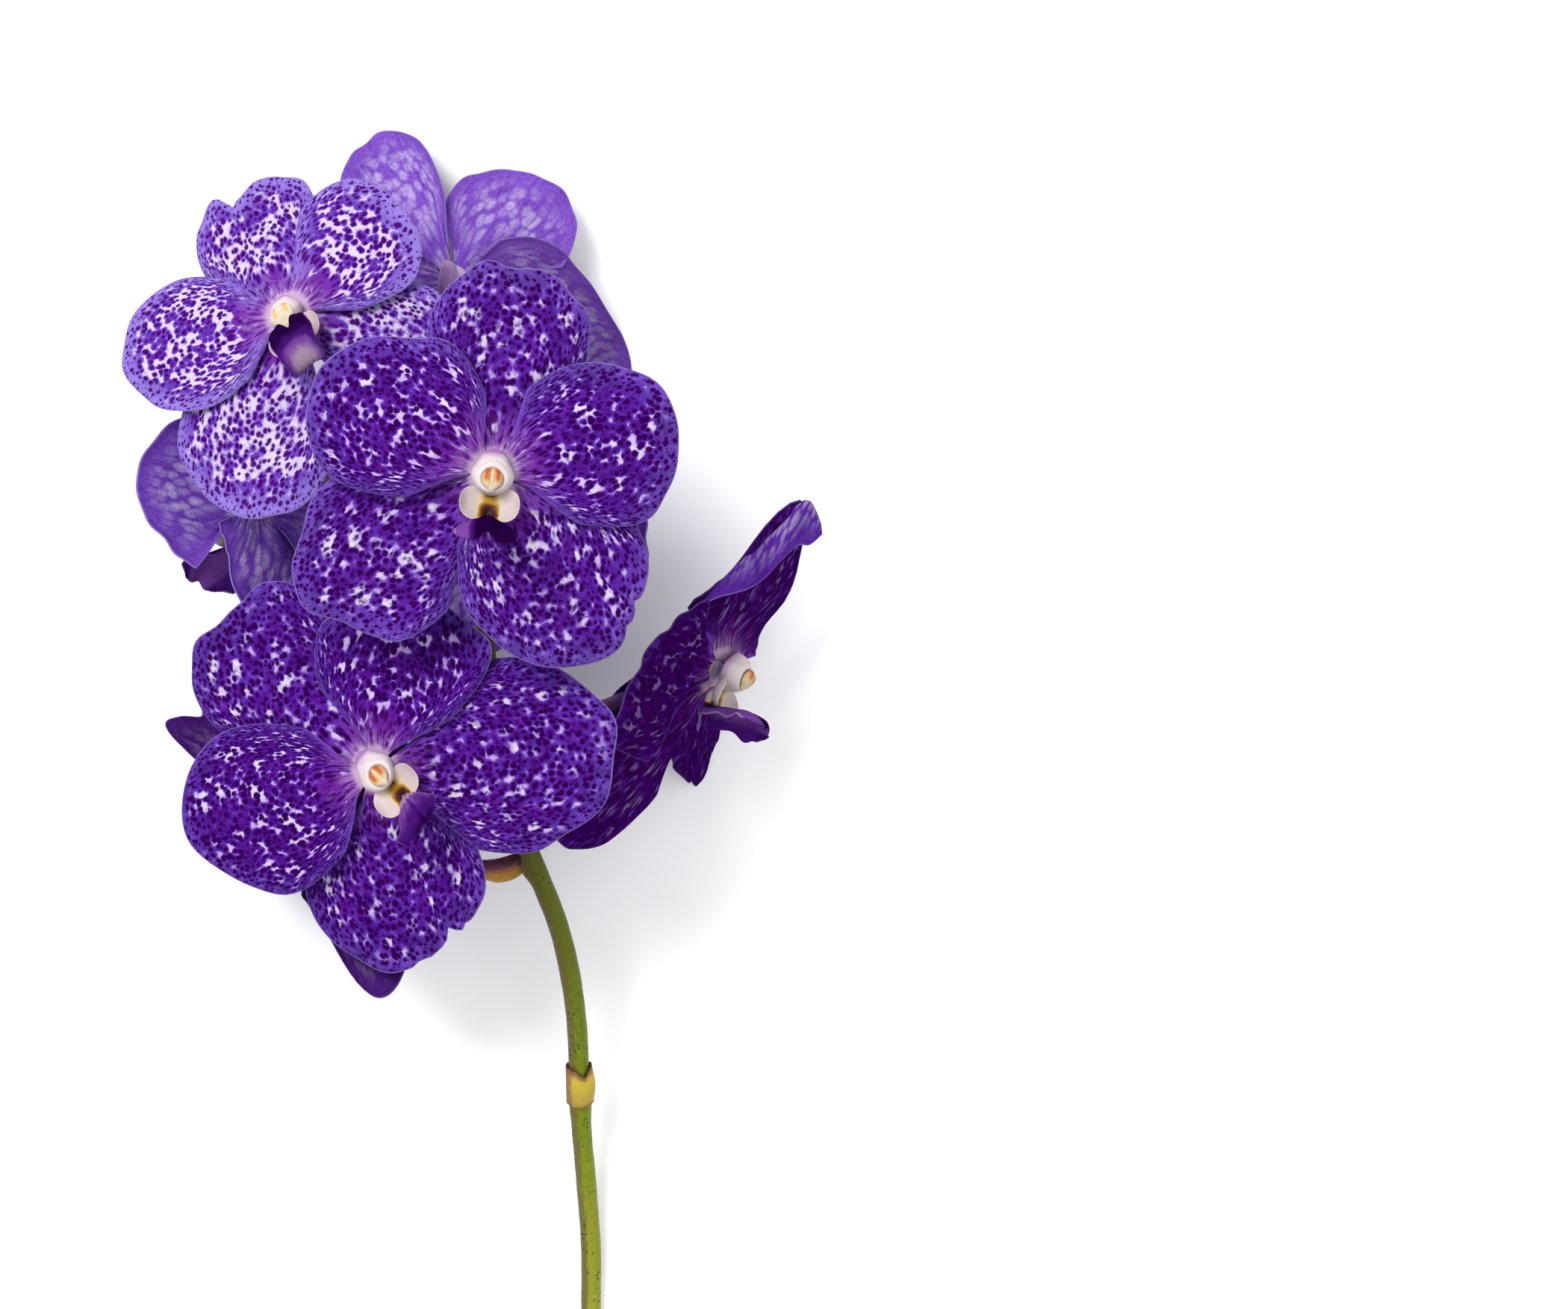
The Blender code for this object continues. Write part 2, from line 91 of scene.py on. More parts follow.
def addStudio():
    reach = view["floorReach"]
    mesh = bpy.data.meshes.new("tableTop")
    corners = [(-reach, -reach, 0), (reach, -reach, 0), (reach, reach, 0), (-reach, reach, 0)]
    mesh.from_pydata(corners, [], [(0, 1, 2, 3)])
    top = put("tableTop", mesh)
    paper = bpy.data.materials.new("tablePaper")
    paper.use_nodes = True
    shader = paper.node_tree.nodes["Principled BSDF"]
    shader.inputs["Base Color"].default_value = view["floorColour"]
    shader.inputs["Roughness"].default_value = view["floorRoughness"]
    mesh.materials.append(paper)
    for name, (place, size, power) in view["lights"].items():
        addLight(name, place, size, power)
    world = bpy.data.worlds.new("studioSky")
    world.use_nodes = True
    sky = world.node_tree.nodes["Background"]
    sky.inputs["Color"].default_value = (1.0, 1.0, 1.0, 1.0)
    sky.inputs["Strength"].default_value = view["skyStrength"]
    bpy.context.scene.world = world


# Small maths


def unit(vector):
    vector = np.asarray(vector, float)
    return vector / np.linalg.norm(vector)


def smoothStep(value):
    value = np.clip(value, 0.0, 1.0)
    return value * value * (3 - 2 * value)


def hill(value, width):  # 1 where the value is 0, fading out over the width
    return np.exp(-((value / width) ** 2))


def through(knots, values, where):  # a smooth curve through the values at the knots
    knots = np.asarray(knots, float)
    values = np.asarray(values, float)
    slopes = np.gradient(values, knots)
    index = np.clip(np.searchsorted(knots, where) - 1, 0, len(knots) - 2)
    width = knots[index + 1] - knots[index]
    t = (where - knots[index]) / width
    start, end = values[index], values[index + 1]
    startSlope, endSlope = slopes[index] * width, slopes[index + 1] * width
    return (
        start * (1 + 2 * t) * (1 - t) ** 2
        + startSlope * t * (1 - t) ** 2
        + end * t * t * (3 - 2 * t)
        + endSlope * t * t * (t - 1)
    )


def throughAll(knots, rows, where):  # the same for every column of a table
    return np.stack([through(knots, column, where) for column in np.array(rows, float).T], axis=-1)


def evenly(line, count, measured=None):  # even steps along a smooth line, by its measured columns
    line = np.array(line, float)
    steps = np.linalg.norm(np.diff(line[:, :measured], axis=0), axis=1)
    ways = np.concatenate(([0], np.cumsum(steps)))
    return throughAll(ways, line, np.linspace(0, ways[-1], count))


def ripple(where, seed, waves):  # a sum of sines that never repeats within a piece
    total = 0.0
    for k in range(3):
        speed = waves * (1.0 + 0.61 * k)
        total = total + math.cos(seed * (3.1 + k)) * np.sin(speed * where + seed * (1.7 + 2.3 * k))
    return total / 1.7


def spaced(count):  # even steps from 0 to 1, with close ones at the end to hold the rim
    return np.concatenate((np.linspace(0, 0.955, count - 2), (0.982, 1.0)))


def bladeGrid(rows, halfColumns):  # along from 0 to 1, and across from -1 to 1
    half = spaced(halfColumns)
    across = np.concatenate((-half[::-1], half[1:]))
    return np.meshgrid(spaced(rows), across, indexing="ij")


def turnsRound(sides):
    return np.arange(sides) * 2 * math.pi / sides


def doubled(grid, width=1):  # the same values for the upper and the lower face of a blade
    block = np.reshape(grid, (-1, width))
    return np.concatenate((block, block))


def camel(name):
    first, *rest = name.split("_")
    return first + "".join(word.capitalize() for word in rest)


# Meshes


class MeshBag:  # gathers the parts of one piece, with the values that its materials read
    def __init__(self):
        self.points, self.faces, self.slots, self.values = [], [], [], {}
        self.count = 0

    def add(self, points, faces, slot=0, **values):
        points = np.asarray(points, float).reshape(-1, 3)
        size = len(points)
        for name in {**self.values, **values}:
            blocks = self.values.setdefault(name, [])
            if name in values:
                block = np.asarray(values[name], float).reshape(size, -1)
            else:
                block = np.zeros((size, blocks[0].shape[1]))
            if not blocks:
                blocks.append(np.zeros((self.count, block.shape[1])))
            blocks.append(block)
        self.faces += [tuple(int(v) + self.count for v in face) for face in faces]
        self.slots += [slot] * len(faces)
        self.points.append(points)
        self.count += size

    def addRings(self, rings, shade, slot=0, bloom=None, **values):
        # A closed body from rings, which a bloom's own parts give in the flower's directions
        points = localPoints(bloom, rings) if bloom else rings
        shade = np.broadcast_to(shade, rings.shape[:2])
        self.add(points, ringFaces(*rings.shape[:2]), slot, localPlace=rings, shade=shade, **values)

    def addBlade(self, points, thickness, backUp, **values):
        # A petal's blade, whose upper face is its back where backUp is true
        solid, faces = sheetSolid(points, thickness)
        size = points.shape[:2]
        for name, value in values.items():
            isPlace = np.ndim(value) == 3
            values[name] = doubled(value, 3) if isPlace else doubled(np.broadcast_to(value, size))
        upper = np.full(size, float(backUp)).ravel()
        self.add(solid, faces, reverseSide=np.concatenate((upper, 1 - upper)), **values)

    def build(self, node, materials, piece=None):
        piece = piece or camel(node)
        mesh = bpy.data.meshes.new(piece)
        points = (np.concatenate(self.points) + centring) * mm
        mesh.from_pydata(points.tolist(), [], self.faces)
        for material in materials:
            mesh.materials.append(material)
        mesh.polygons.foreach_set("material_index", self.slots)
        for name, blocks in self.values.items():
            block = np.concatenate(blocks)
            kind = "FLOAT" if block.shape[1] == 1 else "FLOAT_VECTOR"
            layer = mesh.attributes.new(name, kind, "POINT")
            layer.data.foreach_set("value" if kind == "FLOAT" else "vector", block.ravel())
        mesh.shade_smooth()
        thing = put(piece, mesh)
        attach(thing, "root")
        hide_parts(node)


def gridNormals(points):
    normals = np.cross(np.gradient(points, axis=0), np.gradient(points, axis=1))
    return normals / np.maximum(np.linalg.norm(normals, axis=2, keepdims=True), 1e-9)


def gridFaces(rows, columns, start=0, flipped=False, around=False, looped=False):
    # Closed across the columns where it goes around, and along the rows where it is looped
    faces = []
    for i in range(rows if looped else rows - 1):
        for j in range(columns if around else columns - 1):
            here, ahead = start + i * columns, start + (i + 1) % rows * columns
            k = (j + 1) % columns
            face = (here + j, ahead + j, ahead + k, here + k)
            faces.append(face[::-1] if flipped else face)
    return faces


def bladeThickness(form, rim):
    return form["thickness"] + (form["rimThickness"] - form["thickness"]) * rim


def sheetSolid(points, thickness):  # a closed blade round a grid, upper face first
    rows, columns = points.shape[:2]
    offset = gridNormals(points) * (np.asarray(thickness) / 2)[..., None]
    layers = np.concatenate(((points + offset).reshape(-1, 3), (points - offset).reshape(-1, 3)))
    under = rows * columns
    faces = gridFaces(rows, columns) + gridFaces(rows, columns, under, flipped=True)
    rim = [i * columns for i in range(rows)]
    rim += [(rows - 1) * columns + j for j in range(1, columns)]
    rim += [i * columns + columns - 1 for i in range(rows - 2, -1, -1)]
    rim += list(range(columns - 2, 0, -1))
    for first, second in zip(rim, rim[1:] + rim[:1]):
        faces.append((second, first, first + under, second + under))
    return layers, faces


def ringFaces(rings, sides):  # round the rings, and a cap at each end
    faces = []
    for k in range(rings - 1):
        for i in range(sides):
            j = (i + 1) % sides
            faces.append((k * sides + i, k * sides + j, (k + 1) * sides + j, (k + 1) * sides + i))
    faces.append(tuple(range(sides - 1, -1, -1)))
    faces.append(tuple((rings - 1) * sides + i for i in range(sides)))
    return faces


def tubeRings(path, radii, sides, ridges, ridgeDepth):  # lengthwise ridges on a round stalk
    angles = turnsRound(sides) + math.pi / sides - math.pi / 2
    rings = []
    for point, tangent, radius in zip(path, np.gradient(path, axis=0), radii):
        tangent = unit(tangent)
        steep = abs(tangent[2]) >= 0.9
        side = unit(np.cross(tangent, (0.0, 1.0, 0.0) if steep else (0.0, 0.0, 1.0)))
        up = np.cross(side, tangent)
        reach = radius * (1 + ridgeDepth * np.cos(ridges * angles))[:, None]
        ring = point + reach * (np.outer(np.cos(angles), side) + np.outer(np.sin(angles), up))
        rings.append(ring[::-1])
    rings = np.array(rings)
    rings[..., 2] = np.maximum(rings[..., 2], 0.0)
    return rings


def ellipsoidRings(centre, radii, sides, bands, axes=np.eye(3)):
    angles = turnsRound(sides)
    turns = math.pi * (0.02 + 0.96 * np.arange(bands + 1) / bands)[:, None]
    across, tall, deep = radii
    parts = (
        across * np.sin(turns) * np.cos(angles),
        tall * np.sin(turns) * np.sin(angles),
        -deep * np.cos(turns) + 0 * angles,
    )
    return np.asarray(centre) + np.stack(parts, axis=2) @ np.array(axes)


# Materials


class Wire:  # a node's output, which can be reckoned with like a number
    def __init__(self, nodes, socket):
        self.nodes, self.socket = nodes, socket

    def __add__(self, other):
        return self.nodes.maths("ADD", self, other)

    def __sub__(self, other):
        return self.nodes.maths("SUBTRACT", self, other)

    def __rsub__(self, other):
        return self.nodes.maths("SUBTRACT", other, self)

    def __mul__(self, other):
        return self.nodes.maths("MULTIPLY", self, other)

    def __truediv__(self, other):
        return self.nodes.maths("DIVIDE", self, other)

    __radd__, __rmul__ = __add__, __mul__


class Nodes:  # short names for the nodes that the finishes are made of
    def __init__(self, name, form):
        self.material = bpy.data.materials.new(name)
        self.material.use_nodes = True
        self.tree = self.material.node_tree
        self.shader = self.tree.nodes["Principled BSDF"]
        self.form = form
        self.plug(self.shader, {"Specular IOR Level": form.get("specular", 0.15)})

    def plug(self, node, inputs):
        for name, value in inputs.items():
            if isinstance(value, Wire):
                self.tree.links.new(value.socket, node.inputs[name])
            elif isinstance(value, str):  # one of the form's named tones
                node.inputs[name].default_value = tone(*self.form["tones"][value])
            else:
                node.inputs[name].default_value = value

    def add(self, kind, inputs, output=0, **settings):
        node = self.tree.nodes.new("ShaderNode" + kind)
        for name, value in settings.items():
            setattr(node, name, value)
        self.plug(node, inputs)
        return Wire(self, node.outputs[output])

    def value(self, name, kind="Fac"):
        return self.add("Attribute", {}, kind, attribute_name=name)

    def maths(self, operation, first, second):
        return self.add("Math", {0: first, 1: second}, operation=operation)

    def ramp(self, value, low, high):  # 0 at low and 1 at high, smoothly
        ends = {"From Min": min(low, high), "From Max": max(low, high)}
        ends.update({"To Min": float(low > high), "To Max": float(low < high)})
        return self.add("MapRange", {"Value": value, **ends}, "Result", interpolation_type="SMOOTHSTEP")

    def noise(self, vector, scale, detail=2.0, roughness=0.5, output="Fac"):
        inputs = {"Vector": vector, "Scale": scale, "Detail": detail, "Roughness": roughness}
        return self.add("TexNoise", inputs, output)

    def wander(self, vector, scale, reach):  # the vector pushed about by noise
        noise = self.noise(vector, scale, 1.0, output="Color")
        push = self.add("VectorMath", {0: noise, 1: (0.5, 0.5, 0.5)}, operation="SUBTRACT")
        inputs = {0: push, 1: (reach, reach, 0.0), 2: vector}
        return self.add("VectorMath", inputs, operation="MULTIPLY_ADD")

    def cells(self, vector, scale):  # distance to the nearest cell's centre, and that cell's chance
        inputs = {"Vector": vector, "Scale": scale}
        distance = self.add("TexVoronoi", inputs, "Distance", voronoi_dimensions="2D")
        colour = Wire(self, distance.socket.node.outputs["Color"])
        return distance, self.add("SeparateColor", {0: colour})

    def stretched(self, vector, share):  # longer marks along the petal or stem
        return self.add("VectorMath", {0: vector, 1: (1.0, share, 1.0)}, operation="MULTIPLY")

    def mix(self, factor, first, second):
        return self.add("Mix", {"Factor": factor, 6: first, 7: second}, 2, data_type="RGBA")

    def finish(self, colour, grain, strength, depth):  # the grain is bump and worn places alike
        bump = self.add("Bump", {"Strength": strength, "Distance": depth, "Height": grain})
        swing = 0.24  # how much the grain changes the roughness
        worn = grain * swing + (self.form["roughness"] - swing / 2)
        self.plug(self.shader, {"Base Color": colour, "Normal": bump, "Roughness": worn})
        return self.material


def tone(*screen):  # the screen colour wanted under the lights, 0 to 255, as a linear one
    part = np.array(screen) / 255
    linear = np.where(part <= 0.04045, part / 12.92, ((part + 0.055) / 1.055) ** 2.4)
    return (*(linear / view["lightLevel"]), 1.0)


tepalPaint = {
    "tones": {
        "deep": (44, 2, 98),
        "bright": (78, 10, 148),
        "warm": (100, 14, 132),
        "lilac": (116, 66, 198),
        "lightLilac": (164, 140, 234),
        "plum": (122, 34, 158),
        "pale": (190, 156, 228),
        "paler": (230, 214, 244),
        "spot": (46, 0, 66),
        "lightSpot": (82, 6, 126),
        "clawStreak": (138, 58, 176),
        "claw": (224, 190, 224),
        "rim": (168, 144, 220),
        "reverse": (122, 66, 200),
        "reverseDeep": (92, 38, 166),
        "reverseLilac": (158, 112, 226),
        "reversePale": (206, 182, 238),
    },
    "roughness": 0.6,
    "specular": 0.0,
    "spotsPerMm": 0.50,
    "specksPerMm": 0.95,
    "patchesPerMm": 0.24,
    "reverseCellsPerMm": 0.36,
    "spotWander": 1.0,  # mm, how far the spots leave their even places
    "spotSize": (0.02, 0.28, 0.30),  # the least, and what chance and the patchy noise add
    "speckSize": (-0.16, 0.5),
    "patchSize": (0.12, 0.40),
    "gapThatPales": (1.01, 0.36, 0.10),  # less in open places and along the middle belt
    "palerBelt": (0.05, 0.26),  # how much more a pale bloom whitens, and along its belt
    "grain": (0.35, 0.0005),  # strength, and depth in m
}


def tepalMaterial():
    form = tepalPaint
    n = Nodes("spottedTepal", form)
    mix, ramp, noise = n.mix, n.ramp, n.noise
    place, evenPlace = n.value("petalPlace", "Vector"), n.value("spotPlace", "Vector")
    spotPlace = n.wander(evenPlace, 0.5, form["spotWander"])
    length, margin = n.value("fromClaw"), n.value("fromEdge")  # mm
    # depth is painted shade: it dulls and darkens the tepals of blooms that lie in the shadow of others
    paleness, sepal, depth = n.value("paleness"), n.value("sepal"), n.value("depth")
    broad, patchy = noise(place, 0.06), noise(place, 0.15)
    fine = noise(spotPlace, 1.3, 3.0)
    nearEdge = ramp(margin, 10.0, 1.0)
    # Ground: violet, warmer in the middle and mottled, with lilac clouds towards the margin
    ground = mix(ramp(broad, 0.34, 0.66), "deep", "bright")
    warm = ramp(margin, 5.0, 13.0) * ramp(patchy, 0.62, 0.36)
    ground = mix(warm * 0.5, ground, "warm")
    clouds = nearEdge * ramp(noise(place, 0.24, 3.0), 0.40, 0.68)
    clouds = n.maths("MAXIMUM", clouds * 0.6, paleness * 0.7) * (1 - depth * 0.5)
    mottle = ramp(noise(spotPlace, 0.75, 3.0), 0.46, 0.62) * 0.34
    clouds = n.maths("MAXIMUM", clouds, mottle * (1 - depth))
    ground = mix(clouds, ground, "lilac")
    ground = mix(ramp(fine, 0.56, 0.40) * 0.35, ground, "deep")
    ground = mix(ramp(length, 19.0, 7.0) * 0.75, ground, "plum")
    # Pale stars in the gaps between the spots, which run together in round patches
    distance, chance = n.cells(spotPlace, form["spotsPerMm"])
    belt = ramp(length, 8.0, 16.0) * ramp(margin, 2.0, 12.0)
    openness = ramp(patchy, 0.38, 0.66)
    fromPatch, patchChance = n.cells(n.wander(spotPlace, 0.7, 0.9), form["patchesPerMm"])
    least, more = form["patchSize"]
    patch = (patchChance * more + least - fromPatch) * (1.15 - paleness * 0.9)
    gap = distance * (1 - sepal * 0.4) + sepal * 0.22 + patch
    most, inOpen, inBelt = form["gapThatPales"]
    needed = most - openness * inOpen - belt * inBelt + sepal * 0.02
    least, more = form["palerBelt"]
    needed = needed - paleness * (belt * more + least)
    level = ((fine - 0.5) * 0.45 + (gap - needed)) / (1 + sepal * 0.6)
    inside = ramp(length, 2.5, 8.0)
    surround = ramp(level, -0.46, 0.0) * inside
    pale = ramp(level, -0.13, 0.12) * inside * ramp(margin, 0.5, 7.0)
    whitest = n.maths("MAXIMUM", paleness, openness * patchChance * 1.3)
    paleTone = mix(whitest, "pale", "paler")
    paleTone = mix(depth * 0.6, paleTone, "lilac")
    starry = mix(surround * 0.58, ground, "lilac")
    starry = mix(paleness * nearEdge * 0.9, starry, "lightLilac")
    starry = mix(pale, starry, paleTone)
    # Round dark spots, each in a thin ring of plain violet, and specks between them
    least, byChance, byPatch = form["spotSize"]
    size = chance * byChance + patchy * byPatch + least - paleness * 0.03
    edge = distance - (size - ramp(margin, 4.0, 1.0) * 0.12)
    ringTone = mix(paleness * 0.8, "bright", "lilac")
    hidden = n.maths("MAXIMUM", pale * sepal * (0.9 - paleness), 0.0)
    ring = ramp(edge, 0.20, 0.04) * (0.9 - sepal * 0.2) * (1 - paleness * 0.7) * (1 - hidden)
    front = mix(ring, starry, ringTone)
    softness = sepal * 0.08 + 0.09 - paleness * 0.03
    dark = ramp((softness * 0.6 - edge) / softness, 0.0, 1.0) * (0.96 - hidden)
    fromSpeck, speckChance = n.cells(spotPlace, form["specksPerMm"])
    least, more = form["speckSize"]
    speck = ramp(fromSpeck - (speckChance * more + least), 0.08, -0.08)
    speck = speck * (nearEdge * 0.5 + 0.35)
    spots = n.maths("MAXIMUM", dark, speck) * ramp(length, 3.0, 9.0)
    front = mix(spots, front, mix(paleness * 0.8, "spot", "lightSpot"))
    # painted shade: where depth is set, patches darken towards the spot tone
    front = mix(depth * ramp(patchy, 0.1, 0.5), front, mix(0.72, front, "spot"))
    # The claw: fine streaks that run into pinkish white
    streak = noise(n.stretched(spotPlace, 0.45), 0.5, 4.0, 0.6)
    nearClaw = ramp(length, 16.0, 5.0)
    streaks = nearClaw * ramp(streak, 0.40, 0.66)
    front = mix(streaks * 0.5, front, "clawStreak")
    whiter = nearClaw * ramp(noise(spotPlace, 0.42), 0.58, 0.72)
    front = mix(whiter * 0.6, front, "pale")
    pinkish = ramp(length, 5.0, 2.0) + streaks * ramp(length, 10.0, 3.0) * 0.5
    front = mix(n.maths("MINIMUM", pinkish, 0.9), front, "claw")
    band = ramp(margin, 2.4, 0.9) * ramp(length, 26.0, 14.0)
    front = mix(band * ramp(patchy, 0.35, 0.6), front, "lilac")
    # The reverse: lilac violet with soft pale cells, divided by thin darker lines
    cellPlace = n.wander(n.stretched(evenPlace, 0.66), 0.8, 0.7)
    fromCell, cellChance = n.cells(cellPlace, form["reverseCellsPerMm"])
    net = ramp(fromCell, 0.66, 0.22) * ramp(margin, 1.0, 12.0) * (cellChance * 0.5 + 0.4)
    back = mix(ramp(broad, 0.3, 0.7), "reverse", "reverseDeep")
    back = mix(paleness, back, "reverseLilac")
    back = mix(net, back, "reversePale")
    vein = noise(n.stretched(spotPlace, 0.12), 0.8)
    back = mix(ramp(vein, 0.52, 0.66) * 0.35, back, "reverseDeep")
    shadow = ramp(noise(place, 0.9, 3.0), 0.58, 0.40)
    back = mix(shadow, back, mix(0.25, back, "deep"))
    # painted shade darkens the reverse where depth is set
    back = mix(depth * 0.85, back, "spot")
    colour = mix(n.value("reverseSide"), front, back)
    # the pale rim fades where painted shade is set by depth
    colour = mix(ramp(margin, 0.5, 0.15) * (0.62 - depth * 0.45), colour, "rim")
    grain = noise(n.stretched(evenPlace, 0.1), 0.9, 3.0) + noise(place, 2.4) * 0.35
    return n.finish(colour, grain, *form["grain"])


def skinMaterial(name, form):
    # Tones along the value "shade", from 0 to 1, broken up a little by noise
    n = Nodes(name, form)
    place = n.value("localPlace", "Vector")
    shade = n.value("shade") + (n.noise(place, 0.5, 3.0) * 0.24 - 0.12)
    colour = n.add("ValToRGB", {0: shade})
    ramp = colour.socket.node.color_ramp
    ramp.interpolation = "EASE"
    for at, *screen in form["tones"][1:-1]:
        ramp.elements.new(at)
    for element, (at, *screen) in zip(ramp.elements, form["tones"]):
        element.position = at
        element.color = tone(*screen)
    if "blush" in form:  # a second tone on one side, partly the thing's own browner colour and partly painted shading, broken into long soft streaks
        streak = n.noise(n.stretched(place, 0.2), 0.8, 3.0, 0.6)
        tintedAndShaded = n.ramp(n.value("blush") + (streak * 1.2 - 0.6), 0.25, 0.95)
        colour = n.mix(tintedAndShaded * 0.85, colour, tone(*form["blush"]))
    if "speckle" in form:
        speckle = form["speckle"]
        distance, _ = n.cells(place, speckle["perMm"])
        spots = n.ramp(distance, speckle["size"], speckle["size"] - 0.08)
        spots = spots * n.ramp(n.noise(place, speckle["patch"]), 0.48, 0.62)
        colour = n.mix(spots * 0.85, colour, tone(*speckle["colour"]))
    return n.finish(colour, n.noise(place, 2.0, 3.0), 0.2, 0.0002)


# Blooms

petalEdge = (0.50, 0.75, 0.90, 0.97, 1.00, 0.97, 0.90, 0.75, 0.50)
sepalEdge = (0.66, 0.83, 0.93, 0.98, 1.00, 0.98, 0.93, 0.83, 0.66)

tepalForm = {  # mm
    "clawRadius": 3.0,
    "rows": 34,
    "halfColumns": 24,
    "thickness": 0.9,
    "rimThickness": 0.35,
    "jitter": 0.35,  # how far the outline leaves its smooth curve, and how many waves it has
    "jitterWaves": 9.0,
    "groove": 0.45,  # along the middle, and its share of the half width
    "grooveWidth": 0.07,
    "ribs": 0.10,
    "ribWaves": 34,
    "swell": 0.7,  # broad waves of the whole blade
    "swellWaves": 2.5,
    "ruffle": 0.95,  # how far the margin waves
    "ruffleWaves": 6.5,
    "roll": 0.9,  # how far the margin turns back, and its share of the blade
    "rimShare": 0.12,
    "narrowing": {"petal": 0.38, "dorsal": 0.20, "lateral": 0.20},  # towards the claw
}


def tepal(kind, bearing, half, edge, layer, back, **more):
    # Bearing and half width in degrees, radii of the edge, height over the hub and droop in mm
    return dict(kind=kind, bearing=bearing, half=half, edge=edge, layer=layer, back=back, **more)


def scaled(shape, reach):
    return tuple(reach * share for share in shape)
